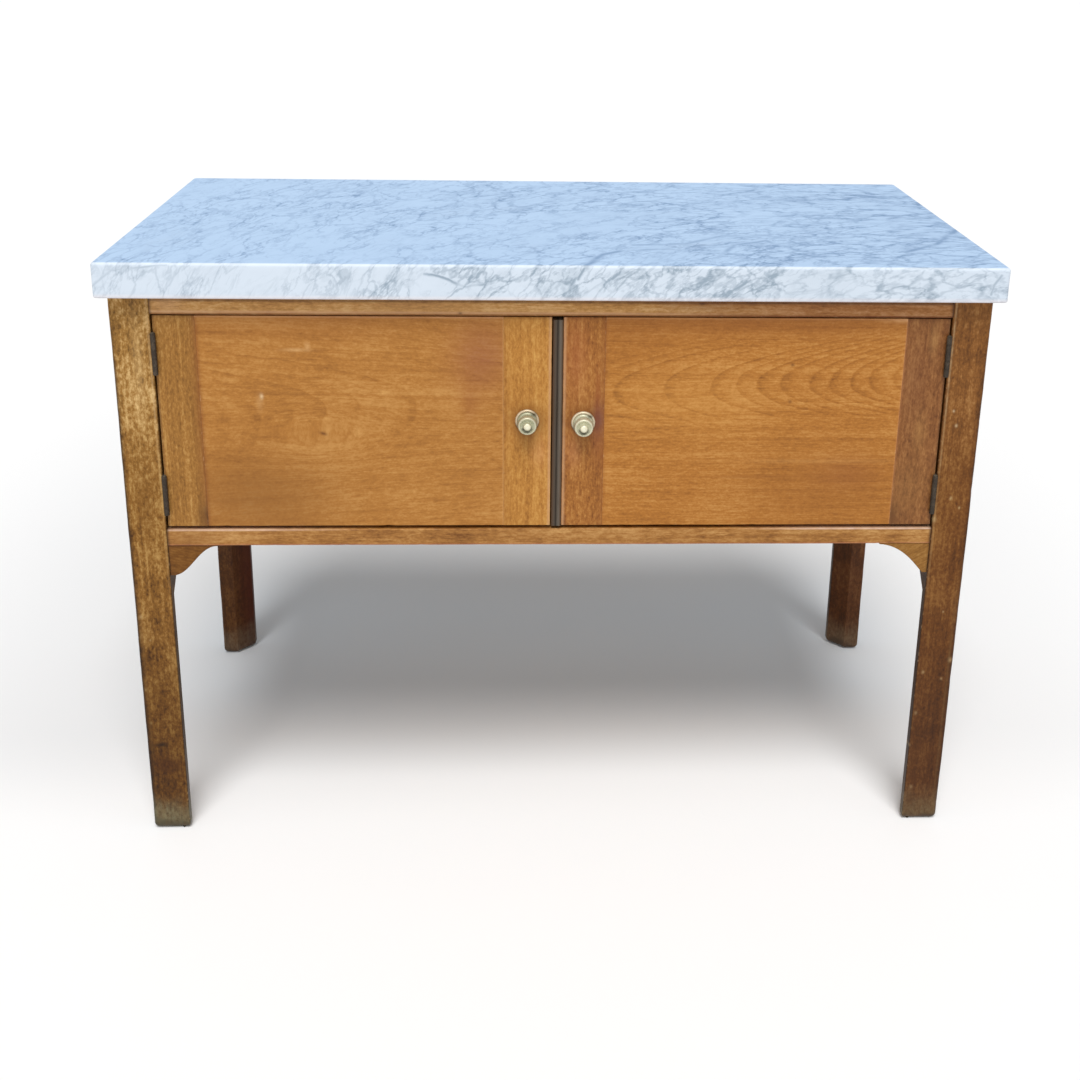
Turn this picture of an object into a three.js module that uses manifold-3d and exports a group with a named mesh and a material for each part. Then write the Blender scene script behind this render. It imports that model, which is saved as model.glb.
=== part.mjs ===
// A marble-top washstand: a stone slab on a two-door cupboard with four straight legs.
// Millimetres. +X to the viewer's right, +Y from the doors to the back, +Z up from the floor.
// Inside this file the carcass stands with its front face at y = 0 and its middle at x = 0.

import * as THREE from 'three';
import { mergeVertices } from 'three/addons/utils/BufferGeometryUtils.js';
import Module from 'manifold-3d';

const wasm = await Module();
wasm.setup();

// Whole stand and marble slab
const standHeight = 774.5;
const marbleLength = 1067;
const marbleDepth = 533;
const marbleThickness = 42.5;
const marbleCornerRadius = 4;
const marbleEdgeRadius = 2;
const marbleSideOverhang = 10;
const marbleFrontOverhang = 20;
const marbleBackOverhang = 22;

// Clearances and cutting
const seatGap = 0.1;
const jointFit = 0.3;
const cutOverrun = 5;

// Legs
const legWidth = 47;
const legDepth = 35;
const legArris = 1.5;
const legChamfer = 24;
const legChamferRunOut = 24;
const legChamferBelowBracket = 6;

// Rails, brackets and their stub tenons
const openingHeight = 275.4;
const bottomRailHeight = 21.5;
const topRailHeight = 24;
const railThickness = 22;
const railArris = 0.8;
const backRailHeight = 48;
const tenonLength = 12;
const tenonThickness = 9;
const tenonShoulder = 3;
const bracketReach = 64;
const bracketDrop = 41;
const bracketTip = 4;
const bracketThickness = 17;
const bracketSetback = 1;

// Side boards, back boards, floor and bearers
const sideBoardThickness = 18;
const sideBoardSetback = 3;
const sideTongueLength = 8;
const sideTongueThickness = 8;
const sideTongueShoulder = 20;
const backBoardThickness = 9;
const backBoardCount = 3;
const boardArris = 0.6;
const floorThickness = 12;
const floorBattenWidth = 20;
const floorBattenThickness = 9;
const glueBlockLength = 60;
const glueBlockSize = 8;
const glueBlockInset = 90;
const topBearerWidth = 20;
const topBearerHeight = 20;
const middleBearerWidth = 45;
const doorStopThickness = 12;
const doorStopHeight = 40;

// Doors
const doorThickness = 21;
const doorSetback = 1;
const doorTopGap = 1.5;
const doorBottomGap = 4.5;
const doorHingeGap = 2.5;
const doorArris = 0.6;
const leftDoorWidth = 468.7;
const leftHingeClampWidth = 49;
const leftMeetingClampWidth = 58;
const rightHingeClampWidth = 52;
const rightMeetingClampWidth = 50.5;
const clampTongueLength = 9;
const clampTongueThickness = 7;
const meetingStripWidth = 12.5;
const meetingStripDepth = 12;
const meetingStripProud = 2.5;
const meetingGap = 1.2;
const meetingStripTopGap = 3;

// Knobs
const leftKnobRise = 4.25;
const rightKnobRise = 1.75;
const roseRadius = 14.75;
const roseThickness = 3.6;
const roseRimThickness = 2;
const roseWellRadius = 9.5;
const knobNeckRadius = 4.5;
const knobBodyRadius = 11.5;
const knobBodyStart = 8;
const knobBodyEnd = 22;
const knobRimWidth = 1.2;
const knobDishRadius = 6;
const knobDishDepth = 2.5;
const knobTipRadius = 4.9;
const knobProjection = 25.5;
const knobShankRadius = 2.5;
const knobNutRadius = 6.5;
const knobNutThickness = 4;
const knobShankEnd = 2;

// Hinges: two-inch butts with five knuckles
const hingeHeight = 50.8;
const hingeLeafDepth = 19;
const hingeLeafThickness = 1.5;
const hingeLeafGap = 0.4;
const hingePinRadius = 1.5;
const hingeBoreRadius = 1.6;
const hingeKnuckleRadius = 3.2;
const hingeKnuckleCount = 5;
const hingeKnuckleGap = 0.3;
const hingePinProud = 3.6;
const hingePinHeadRadius = 2.4;
const hingePinHeadHeight = 1.2;
const topHingeInset = 21;
const bottomHingeInset = 17;
const screwHoleRadius = 2;
const screwHoleInset = 9;
const screwHoleCount = 3;

// Facets on round forms
const roundSides = 32;
const smallRoundSides = 16;
const cornerSteps = 4;

// Places that follow from the sizes above
const carcassWidth = marbleLength - 2 * marbleSideOverhang;
const carcassDepth = marbleDepth - marbleFrontOverhang - marbleBackOverhang;
const carcassTop = standHeight - marbleThickness;
const openingHalf = carcassWidth / 2 - legWidth;
const openingTop = carcassTop - seatGap - topRailHeight;
const openingBottom = openingTop - openingHeight;
const bottomRailUnderside = openingBottom - bottomRailHeight;
const carcassHeight = carcassTop - seatGap - bottomRailUnderside;
const backBoardFront = carcassDepth - railThickness - seatGap - backBoardThickness;
const doorBottom = openingBottom + doorBottomGap;
const doorTop = openingTop - doorTopGap;
const doorHeight = doorTop - doorBottom;
const doorBack = doorSetback + doorThickness;
const doorHingeEdge = openingHalf - doorHingeGap;
const leftDoorMeetingEdge = -doorHingeEdge + leftDoorWidth;
const meetingStripLeft = leftDoorMeetingEdge + meetingGap;
const rightDoorMeetingEdge = meetingStripLeft + meetingStripWidth + seatGap;
const rightDoorWidth = doorHingeEdge - rightDoorMeetingEdge;
const hingePinX = openingHalf - hingeKnuckleRadius;
const hingePinY = -hingePinProud;
const knucklePitch = (hingeHeight + hingeKnuckleGap) / hingeKnuckleCount;
const knobTipY = doorSetback - knobProjection;

// Materials, one function for each finish
function finish(color, roughness, metalness) {
  return new THREE.MeshStandardMaterial({ color, roughness, metalness });
}

function marbleStone() {
  return finish(0xdfe3e6, 0.18, 0);
}

function legMahogany() {
  return finish(0x8a5a2a, 0.45, 0);
}

function panelMahogany() {
  return finish(0xb5803f, 0.4, 0);
}

function clampMahogany() {
  return finish(0x9a6430, 0.42, 0);
}

function innerPine() {
  return finish(0xb08a58, 0.7, 0);
}

function agedBrass() {
  return finish(0xc8c294, 0.35, 0.9);
}

function tarnishedSteel() {
  return finish(0x5a564f, 0.5, 0.8);
}

function stripMetal() {
  return finish(0x4b443a, 0.4, 0.7);
}

// A closed solid from a geometry, and the geometry of a solid
function solidOf(geometry) {
  const bare = geometry.clone();
  bare.deleteAttribute('normal');
  bare.deleteAttribute('uv');
  const merged = mergeVertices(bare);
  return new wasm.Manifold(new wasm.Mesh({
    numProp: 3,
    vertProperties: merged.attributes.position.array,
    triVerts: Uint32Array.from(merged.index.array),
  }));
}

function geometryOf(solid) {
  const mesh = solid.getMesh();
  const geometry = new THREE.BufferGeometry();
  geometry.setAttribute('position', new THREE.BufferAttribute(mesh.vertProperties, 3));
  geometry.setIndex(new THREE.BufferAttribute(mesh.triVerts, 1));
  geometry.computeVertexNormals();
  return geometry;
}

function cut(geometry, tools) {
  const start = solidOf(geometry);
  return geometryOf(tools.reduce((solid, tool) => solid.subtract(solidOf(tool)), start));
}

function join(geometry, others) {
  const start = solidOf(geometry);
  return geometryOf(others.reduce((solid, other) => solid.add(solidOf(other)), start));
}

function named(name, geometry, material, x, y, z) {
  const mesh = new THREE.Mesh(geometry, material);
  mesh.name = name;
  mesh.position.set(x, y, z);
  return mesh;
}

// An outline in X and Y carried up along Z, with all its edges eased by a flat
function easedPrism(outline, height, arris) {
  const geometry = new THREE.ExtrudeGeometry(outline, {
    depth: height - 2 * arris,
    bevelEnabled: true,
    bevelThickness: arris,
    bevelSize: arris,
    bevelOffset: -arris,
    bevelSegments: 1,
    steps: 1,
    curveSegments: cornerSteps,
  });
  return geometry.translate(0, 0, arris);
}

// A rectangle centred on x = 0 and y = 0 with its four corners cut by the arris
function easedRectangle(width, depth, arris) {
  const x = width / 2;
  const y = depth / 2;
  return new THREE.Shape([
    new THREE.Vector2(-x + arris, -y),
    new THREE.Vector2(x - arris, -y),
    new THREE.Vector2(x, -y + arris),
    new THREE.Vector2(x, y - arris),
    new THREE.Vector2(x - arris, y),
    new THREE.Vector2(-x + arris, y),
    new THREE.Vector2(-x, y - arris),
    new THREE.Vector2(-x, -y + arris),
  ]);
}

// A board centred on x = 0 and y = 0 that stands on z = 0
function easedBoard(width, depth, height, arris) {
  return easedPrism(easedRectangle(width, depth, arris), height, arris);
}

// A plain block given by its middle in X and Y and its lowest Z
function block(width, depth, height, x, y, z) {
  return new THREE.BoxGeometry(width, depth, height).translate(x, y, z + height / 2);
}

// A cylinder along Y, from the first y to the second
function rodAlongY(radius, x, startY, endY, z, sides) {
  const rod = new THREE.CylinderGeometry(radius, radius, endY - startY, sides);
  return rod.translate(x, (startY + endY) / 2, z);
}

// A cylinder along Z that stands on a height
function rodAlongZ(radius, x, y, bottom, height, sides) {
  const rod = new THREE.CylinderGeometry(radius, radius, height, sides);
  return rod.rotateX(Math.PI / 2).translate(x, y, bottom + height / 2);
}

// A profile of [radius, distance] turned about an axis that points out of the door, towards -Y
function turnedOutwards(profile) {
  const points = profile.map(([radius, distance]) => new THREE.Vector2(radius, distance));
  return new THREE.LatheGeometry(points, roundSides).rotateX(Math.PI);
}

// Marble slab: rounded corners in plan, and rounded arrises above and below
function roundedRectangle(width, depth, radius) {
  const x = width / 2;
  const y = depth / 2;
  const shape = new THREE.Shape();
  shape.moveTo(-x + radius, -y);
  shape.lineTo(x - radius, -y);
  shape.absarc(x - radius, -y + radius, radius, -Math.PI / 2, 0);
  shape.lineTo(x, y - radius);
  shape.absarc(x - radius, y - radius, radius, 0, Math.PI / 2);
  shape.lineTo(-x + radius, y);
  shape.absarc(-x + radius, y - radius, radius, Math.PI / 2, Math.PI);
  shape.lineTo(-x, -y + radius);
  shape.absarc(-x + radius, -y + radius, radius, Math.PI, Math.PI * 3 / 2);
  return shape;
}

function marbleTop() {
  const inset = marbleEdgeRadius;
  const plan = roundedRectangle(
    marbleLength - 2 * inset, marbleDepth - 2 * inset, marbleCornerRadius - inset);
  const geometry = new THREE.ExtrudeGeometry(plan, {
    depth: marbleThickness - 2 * inset,
    bevelEnabled: true,
    bevelThickness: inset,
    bevelSize: inset,
    bevelSegments: cornerSteps,
    steps: 1,
    curveSegments: cornerSteps,
  }).translate(0, 0, inset);
  const middleY = marbleDepth / 2 - marbleFrontOverhang;
  return named('marble_top', geometry, marbleStone(), 0, middleY, carcassTop);
}

// Each piece with a tenon or tongue uses the same block, grown by the fit, as the mortise
// Rail ends: side is -1 or 1 in X, y is the middle of the tenon's thickness
function railTenon(side, y, bottom, height, fit) {
  const length = tenonLength + fit + cutOverrun;
  const middle = openingHalf - seatGap + tenonLength + fit - length / 2;
  return block(
    length, tenonThickness + 2 * fit, height - 2 * tenonShoulder + 2 * fit,
    side * middle, y, bottom + tenonShoulder - fit);
}

// Side board ends: end is -1 at the front leg and 1 at the back leg
function sideTongue(side, end, fit) {
  const length = sideTongueLength + fit + cutOverrun;
  const face = end < 0 ? legDepth + seatGap : carcassDepth - legDepth - seatGap;
  const tip = face + end * (sideTongueLength + fit);
  const boardMiddle = carcassWidth / 2 - sideBoardSetback - sideBoardThickness / 2;
  return block(
    sideTongueThickness + 2 * fit, length, carcassHeight - 2 * sideTongueShoulder + 2 * fit,
    side * boardMiddle, tip - end * length / 2, bottomRailUnderside + sideTongueShoulder - fit);
}

const frontRailTenonY = railThickness / 2;
const backRailTenonY = carcassDepth - railThickness / 2;
const topRailBottom = openingTop;
const topBackRailBottom = carcassTop - seatGap - backRailHeight;

// Shallow recess for a hinge leaf in the door's edge. The leg's leaf lies on the leg's face.
// faceX is the door's edge, and inward is the way into the wood along X
const leafRecess = 2 * hingeLeafThickness + hingeLeafGap + seatGap - doorHingeGap;
const hingeLeafBack = hingePinY + hingeKnuckleRadius + hingeLeafDepth;

function hingeBottoms() {
  return [doorTop - topHingeInset - hingeHeight, doorBottom + bottomHingeInset];
}

function leafRecessTool(faceX, inward, bottom) {
  const width = leafRecess + seatGap + cutOverrun;
  const deepest = faceX + inward * (leafRecess + seatGap);
  const depth = hingeLeafBack + seatGap + cutOverrun;
  return block(
    width, depth, hingeHeight + 2 * seatGap,
    deepest - inward * width / 2, hingeLeafBack + seatGap - depth / 2, bottom - seatGap);
}

// Legs: the inner corner has a wide chamfer from the floor that runs out below the bracket
function chamferTool(cornerX, cornerY) {
  const end = bottomRailUnderside - bracketDrop - legChamferBelowBracket;
  const start = end - legChamferRunOut;
  const prism = rodAlongZ(
    legChamfer, cornerX, cornerY, -cutOverrun, start + cutOverrun, cornerSteps);
  const taper = new THREE.ConeGeometry(legChamfer, legChamferRunOut, cornerSteps);
  taper.rotateX(Math.PI / 2).translate(cornerX, cornerY, (start + end) / 2);
  return join(prism, [taper]);
}

function leg(name, side, end) {
  const middleX = side * (carcassWidth / 2 - legWidth / 2);
  const middleY = end < 0 ? legDepth / 2 : carcassDepth - legDepth / 2;
  const innerY = end < 0 ? legDepth : carcassDepth - legDepth;
  const height = carcassTop - seatGap;
  const tenonY = end < 0 ? frontRailTenonY : backRailTenonY;
  const topBottom = end < 0 ? topRailBottom : topBackRailBottom;
  const topHeight = end < 0 ? topRailHeight : backRailHeight;
  const tools = [
    chamferTool(side * openingHalf, innerY),
    railTenon(side, tenonY, bottomRailUnderside, bottomRailHeight, jointFit),
    railTenon(side, tenonY, topBottom, topHeight, jointFit),
    sideTongue(side, end, jointFit),
  ];
  const post = easedBoard(legWidth, legDepth, height, legArris).translate(middleX, middleY, 0);
  return named(name, cut(post, tools), legMahogany(), 0, 0, 0);
}

function legs() {
  return [
    leg('left_front_leg', -1, -1),
    leg('right_front_leg', 1, -1),
    leg('left_back_leg', -1, 1),
    leg('right_back_leg', 1, 1),
  ];
}

// Rails between the legs, front and back
function rail(name, material, tenonY, bottom, height) {
  const length = 2 * (openingHalf - seatGap);
  const bar = easedBoard(length, railThickness, height, railArris).translate(0, tenonY, bottom);
  const tenons = [-1, 1].map((side) => railTenon(side, tenonY, bottom, height, 0));
  return named(name, join(bar, tenons), material, 0, 0, 0);
}

function rails() {
  return [
    rail('top_front_rail', panelMahogany(), frontRailTenonY, topRailBottom, topRailHeight),
    rail('bottom_front_rail', panelMahogany(), frontRailTenonY,
      bottomRailUnderside, bottomRailHeight),
    rail('top_back_rail', innerPine(), backRailTenonY, topBackRailBottom, backRailHeight),
    rail('bottom_back_rail', innerPine(), backRailTenonY,
      bottomRailUnderside, bottomRailHeight),
  ];
}

// Ogee bracket: full by the leg, hollow where it runs out along the rail
// The curve's points are shares of the bracket's reach and drop
const ogeeFullShares = [0.31, 0.93];
const ogeeHollowShares = [0.56, 0.1];
const ogeeEndShares = [1, 0.05];

function bracketOutline() {
  const [full, hollow, end] = [ogeeFullShares, ogeeHollowShares, ogeeEndShares].map(
    ([reachShare, dropShare]) => [reachShare * bracketReach, -dropShare * bracketDrop]);
  const shape = new THREE.Shape();
  shape.moveTo(0, 0);
  shape.lineTo(0, -bracketDrop);
  shape.lineTo(bracketTip, -bracketDrop);
  shape.bezierCurveTo(...full, ...hollow, ...end);
  shape.lineTo(bracketReach, 0);
  shape.closePath();
  return shape;
}

function bracket(name, side, material) {
  const geometry = new THREE.ExtrudeGeometry(bracketOutline(), {
    depth: bracketThickness,
    bevelEnabled: false,
    steps: 1,
    curveSegments: 2 * cornerSteps,
  });
  geometry.rotateX(Math.PI / 2);
  if (side > 0) {
    geometry.rotateZ(Math.PI).translate(0, -bracketThickness, 0);
  }
  const x = side * (openingHalf - seatGap);
  const y = bracketSetback + bracketThickness;
  return named(name, geometry, material, x, y, bottomRailUnderside - seatGap);
}

function brackets() {
  return [
    bracket('left_bracket', -1, clampMahogany()),
    bracket('right_bracket', 1, panelMahogany()),
  ];
}

// Side boards, set back a little from the legs' outer faces
function sideBoard(name, side) {
  const x = side * (carcassWidth / 2 - sideBoardSetback - sideBoardThickness / 2);
  const length = carcassDepth - 2 * (legDepth + seatGap);
  const board = easedBoard(sideBoardThickness, length, carcassHeight, boardArris);
  board.translate(x, carcassDepth / 2, bottomRailUnderside);
  const tongues = [-1, 1].map((end) => sideTongue(side, end, 0));
  return named(name, join(board, tongues), clampMahogany(), 0, 0, 0);
}

function backBoards() {
  const height = (carcassHeight - (backBoardCount - 1) * seatGap) / backBoardCount;
  const length = 2 * (openingHalf - seatGap);
  return Array.from({ length: backBoardCount }, (_, index) => {
    const board = easedBoard(length, backBoardThickness, height, boardArris);
    const z = bottomRailUnderside + index * (height + seatGap);
    const y = backBoardFront + backBoardThickness / 2;
    return named('back_board_' + (index + 1), board, innerPine(), 0, y, z);
  });
}

// Cupboard floor: two boards, notched round the legs
function floorOutline(front, back, notchFront, notchBack) {
  const wide = carcassWidth / 2 - sideBoardSetback - sideBoardThickness - seatGap;
  const narrow = openingHalf - seatGap;
  const right = [
    new THREE.Vector2(narrow, front),
    new THREE.Vector2(narrow, notchFront),
    new THREE.Vector2(wide, notchFront),
    new THREE.Vector2(wide, notchBack),
    new THREE.Vector2(narrow, notchBack),
    new THREE.Vector2(narrow, back),
  ].filter((point, index, all) => index === 0 || !point.equals(all[index - 1]));
  const left = right.map((point) => new THREE.Vector2(-point.x, point.y)).reverse();
  return new THREE.Shape(right.concat(left));
}

function floorBoard(name, outline) {
  const geometry = new THREE.ExtrudeGeometry(outline, { depth: floorThickness, bevelEnabled: false });
  return named(name, geometry, innerPine(), 0, 0, openingBottom - floorThickness);
}

function cupboardFloor() {
  const front = railThickness + seatGap;
  const back = backBoardFront - seatGap;
  const middle = (front + back) / 2;
  const legBack = legDepth + seatGap;
  const legFront = carcassDepth - legDepth - seatGap;
  const frontOutline = floorOutline(front, middle - seatGap, legBack, middle - seatGap);
  const backOutline = floorOutline(middle, back, middle, legFront);
  return [
    floorBoard('cupboard_floor_front', frontOutline),
    floorBoard('cupboard_floor_back', backOutline),
  ];
}

// Battens under the floor and bearers under the marble, along the side boards
function sideStrip(name, side, width, height, bottom) {
  const inner = carcassWidth / 2 - sideBoardSetback - sideBoardThickness - seatGap;
  const length = carcassDepth - 2 * (legDepth + seatGap);
  const strip = easedBoard(width, length, height, boardArris);
  return named(name, strip, innerPine(), side * (inner - width / 2), carcassDepth / 2, bottom);
}

function floorBattens() {
  const bottom = openingBottom - floorThickness - seatGap - floorBattenThickness;
  return [
    sideStrip('left_floor_batten', -1, floorBattenWidth, floorBattenThickness, bottom),
    sideStrip('right_floor_batten', 1, floorBattenWidth, floorBattenThickness, bottom),
  ];
}

function topBearers() {
  const bottom = carcassTop - seatGap - topBearerHeight;
  const front = railThickness + 2 * seatGap + doorStopThickness;
  const back = backBoardFront - seatGap;
  const middle = easedBoard(middleBearerWidth, back - front - seatGap, topBearerHeight, boardArris);
  return [
    sideStrip('left_top_bearer', -1, topBearerWidth, topBearerHeight, bottom),
    sideStrip('right_top_bearer', 1, topBearerWidth, topBearerHeight, bottom),
    named('middle_top_bearer', middle, innerPine(), 0, (front + seatGap + back) / 2, bottom),
  ];
}

// Strip behind the top front rail: the doors close against its lower part
function doorStop() {
  const length = 2 * (openingHalf - seatGap);
  const strip = easedBoard(length, doorStopThickness, doorStopHeight, boardArris);
  const y = railThickness + seatGap + doorStopThickness / 2;
  return named('door_stop', strip, innerPine(), 0, y, carcassTop - seatGap - doorStopHeight);
}

// Three-cornered glue blocks between the floor and the back of the bottom front rail
function glueBlocks() {
  const corner = new THREE.Shape([
    new THREE.Vector2(0, 0),
    new THREE.Vector2(0, -glueBlockSize),
    new THREE.Vector2(glueBlockSize, 0),
  ]);
  const bottom = openingBottom - floorThickness - seatGap;
  const reach = openingHalf - glueBlockInset;
  return ['left', 'middle', 'right'].map((place, index) => {
    const wedge = new THREE.ExtrudeGeometry(corner, { depth: glueBlockLength, bevelEnabled: false });
    wedge.rotateX(Math.PI / 2).rotateZ(Math.PI / 2);
    const x = (index - 1) * reach - glueBlockLength / 2;
    return named(place + '_glue_block', wedge, innerPine(), x, railThickness + seatGap, bottom);
  });
}

// Hinges. owner 0 is the leg's leaf and 1 the door's: their knuckles alternate along the pin.
// Each is made about the pin's axis with its lowest knuckle on z = 0, and side as for the legs.
function knuckleRing(index) {
  const height = knucklePitch - hingeKnuckleGap;
  return rodAlongZ(hingeKnuckleRadius, 0, 0, index * knucklePitch, height, smallRoundSides);
}

// Room for one of the other leaf's knuckles
function knuckleNotch(index) {
  const radius = hingeKnuckleRadius + hingeKnuckleGap;
  const bottom = index * knucklePitch - hingeKnuckleGap;
  return rodAlongZ(radius, 0, 0, bottom, knucklePitch + hingeKnuckleGap, smallRoundSides);
}

// The leg's plate runs on from the knuckle's outer side, and the door's lies beside it
function hingeLeaf(side, owner) {
  const outerFace = hingeKnuckleRadius - seatGap - owner * (hingeLeafThickness + hingeLeafGap);
  const plateX = side * (outerFace - hingeLeafThickness / 2);
  const depth = hingeKnuckleRadius + hingeLeafDepth;
  const plate = block(hingeLeafThickness, depth, hingeHeight, plateX, depth / 2, 0);
  const tools = [];
  const rings = [];
  for (let index = 0; index < hingeKnuckleCount; index += 1) {
    if (index % 2 === owner) {
      rings.push(knuckleRing(index));
    } else {
      tools.push(knuckleNotch(index));
    }
  }
  const bore = rodAlongZ(
    hingeBoreRadius, 0, 0, -cutOverrun, hingeHeight + 2 * cutOverrun, smallRoundSides);
  const holePitch = hingeHeight / screwHoleCount;
  for (let index = 0; index < screwHoleCount; index += 1) {
    const hole = new THREE.CylinderGeometry(
      screwHoleRadius, screwHoleRadius, 2 * cutOverrun, smallRoundSides);
    hole.rotateZ(Math.PI / 2);
    tools.push(hole.translate(plateX, depth - screwHoleInset, (index + 1 / 2) * holePitch));
  }
  return cut(join(cut(plate, tools), rings), [bore]);
}

function hingePin() {
  const pin = rodAlongZ(hingePinRadius, 0, 0, 0, hingeHeight, smallRoundSides);
  const head = rodAlongZ(
    hingePinHeadRadius, 0, 0, hingeHeight + seatGap, hingePinHeadHeight, smallRoundSides);
  const neck = rodAlongZ(
    hingePinRadius, 0, 0, hingeHeight, seatGap + hingePinHeadHeight, smallRoundSides);
  return join(pin, [neck, head]);
}

function hingeFrameSides(sideName, side) {
  return hingeBottoms().flatMap((bottom, index) => {
    const place = sideName + (index === 0 ? '_top' : '_bottom');
    const x = side * hingePinX;
    return [
      named(place + '_hinge_leg_leaf', hingeLeaf(side, 0), tarnishedSteel(), x, hingePinY, bottom),
      named(place + '_hinge_pin', hingePin(), tarnishedSteel(), x, hingePinY, bottom),
    ];
  });
}

function hingeDoorLeaves(sideName, side) {
  return hingeBottoms().map((bottom, index) => {
    const place = sideName + (index === 0 ? '_top' : '_bottom');
    return named(
      place + '_hinge_door_leaf', hingeLeaf(side, 1), tarnishedSteel(),
      side * hingePinX, hingePinY, bottom);
  });
}

// Knobs, made about the axis of the shank with the door's front face at y = 0
function roseGeometry() {
  const hole = knobNeckRadius + jointFit;
  return turnedOutwards([
    [hole, seatGap],
    [roseRadius - seatGap, seatGap],
    [roseRadius, roseRimThickness / 2],
    [roseRadius - roseRimThickness / 2, roseRimThickness],
    [(roseRadius + roseWellRadius) / 2, roseRimThickness],
    [roseWellRadius, roseThickness],
    [(roseWellRadius + hole) / 2, roseThickness],
    [hole, roseRimThickness],
    [hole, seatGap],
  ]);
}

function knobGeometry() {
  const body = knobBodyEnd - knobBodyStart;
  const shoulder = knobBodyStart + body / 3;
  const dish = knobBodyEnd - knobDishDepth;
  const tip = knobProjection - dish;
  const shankEnd = -doorThickness - seatGap - knobNutThickness - knobShankEnd;
  return turnedOutwards([
    [0, shankEnd],
    [knobShankRadius, shankEnd],
    [knobShankRadius, seatGap],
    [knobNeckRadius, seatGap],
    [knobNeckRadius, knobBodyStart],
    [(knobNeckRadius + knobBodyRadius) / 2, knobBodyStart + body / 8],
    [knobBodyRadius, shoulder],
    [knobBodyRadius, knobBodyEnd - knobRimWidth / 2],
    [knobBodyRadius - knobRimWidth / 2, knobBodyEnd],
    [knobBodyRadius - knobRimWidth, knobBodyEnd],
    [knobDishRadius, dish],
    [knobTipRadius, dish],
    [knobTipRadius, dish + tip / 2],
    [knobTipRadius * 3 / 4, dish + tip * 5 / 6],
    [0, knobProjection],
  ]);
}

function nutGeometry() {
  const hexSides = 6;
  const nut = rodAlongY(knobNutRadius, 0, 0, knobNutThickness, 0, hexSides);
  const bore = rodAlongY(
    knobShankRadius + jointFit, 0, -cutOverrun, knobNutThickness + cutOverrun, 0, smallRoundSides);
  return cut(nut, [bore]);
}

function knobPieces(sideName, x, z) {
  return [
    named(sideName + '_knob_rose', roseGeometry(), agedBrass(), x, doorSetback, z),
    named(sideName + '_knob', knobGeometry(), agedBrass(), x, doorSetback, z),
    named(sideName + '_knob_nut', nutGeometry(), tarnishedSteel(), x, doorBack + seatGap, z),
  ];
}

// Doors: a board between two upright clamps, held by tongues in grooves
function clampTongue(edgeX, outward, fit) {
  const length = clampTongueLength + fit + cutOverrun;
  const middle = edgeX + outward * (clampTongueLength + fit - length / 2);
  const height = doorHeight + 2 * (fit > 0 ? cutOverrun : 0);
  const bottom = doorBottom - (fit > 0 ? cutOverrun : 0);
  return block(
    length, clampTongueThickness + 2 * fit, height, middle, doorSetback + doorThickness / 2, bottom);
}

function doorClamp(name, outerX, innerX, tools) {
  const width = Math.abs(innerX - outerX);
  const inward = Math.sign(innerX - outerX);
  const clamp = easedBoard(width, doorThickness, doorHeight, doorArris);
  clamp.translate((outerX + innerX) / 2, doorSetback + doorThickness / 2, doorBottom);
  const groove = clampTongue(innerX, -inward, jointFit);
  return named(name, cut(clamp, [groove, ...tools]), clampMahogany(), 0, 0, 0);
}

function doorBoard(name, leftX, rightX) {
  const board = easedBoard(rightX - leftX, doorThickness, doorHeight, doorArris);
  board.translate((leftX + rightX) / 2, doorSetback + doorThickness / 2, doorBottom);
  const tongues = [clampTongue(leftX, -1, 0), clampTongue(rightX, 1, 0)];
  return named(name, join(board, tongues), panelMahogany(), 0, 0, 0);
}

// hingeEdge and meetingEdge are the door's two upright edges, side is -1 or 1,
// and knobRise is the knob's height over the door's middle
function door(sideName, side, hingeEdge, meetingEdge, hingeClampWidth, meetingClampWidth, knobRise) {
  const hingeInner = hingeEdge - side * hingeClampWidth;
  const meetingInner = meetingEdge + side * meetingClampWidth;
  const knobX = (meetingEdge + meetingInner) / 2;
  const knobZ = doorBottom + doorHeight / 2 + knobRise;
  const recesses = hingeBottoms().map((bottom) => leafRecessTool(hingeEdge, -side, bottom));
  const shankHole = rodAlongY(
    knobShankRadius + jointFit, knobX, -cutOverrun, doorBack + cutOverrun, knobZ, smallRoundSides);
  const boardEdges = [hingeInner - side * seatGap, meetingInner + side * seatGap];
  const boardLeft = Math.min(...boardEdges);
  const boardRight = Math.max(...boardEdges);
  const group = new THREE.Group();
  group.add(
    doorClamp(sideName + '_door_hinge_clamp', hingeEdge, hingeInner, recesses),
    doorClamp(sideName + '_door_meeting_clamp', meetingEdge, meetingInner, [shankHole]),
    doorBoard(sideName + '_door_board', boardLeft, boardRight),
    ...knobPieces(sideName, knobX, knobZ),
    ...hingeDoorLeaves(sideName, side));
  return group;
}

// Half-round metal strip that fills the gap between the doors, fixed to the right door's edge
function meetingStrip() {
  const half = meetingStripWidth / 2;
  const shape = new THREE.Shape();
  shape.moveTo(-half, meetingStripDepth);
  shape.lineTo(-half, 0);
  shape.absellipse(0, 0, half, meetingStripProud, Math.PI, Math.PI * 2, false, 0);
  shape.lineTo(half, meetingStripDepth);
  shape.closePath();
  const geometry = new THREE.ExtrudeGeometry(shape, {
    depth: doorHeight - meetingStripTopGap,
    bevelEnabled: false,
    curveSegments: smallRoundSides,
  });
  return named(
    'meeting_strip', geometry, stripMetal(), meetingStripLeft + half, doorSetback, doorBottom);
}

function leftDoor() {
  return door(
    'left', -1, -doorHingeEdge, leftDoorMeetingEdge,
    leftHingeClampWidth, leftMeetingClampWidth, leftKnobRise);
}

function rightDoor() {
  const group = door(
    'right', 1, doorHingeEdge, doorHingeEdge - rightDoorWidth,
    rightHingeClampWidth, rightMeetingClampWidth, rightKnobRise);
  group.add(meetingStrip());
  return group;
}

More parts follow.
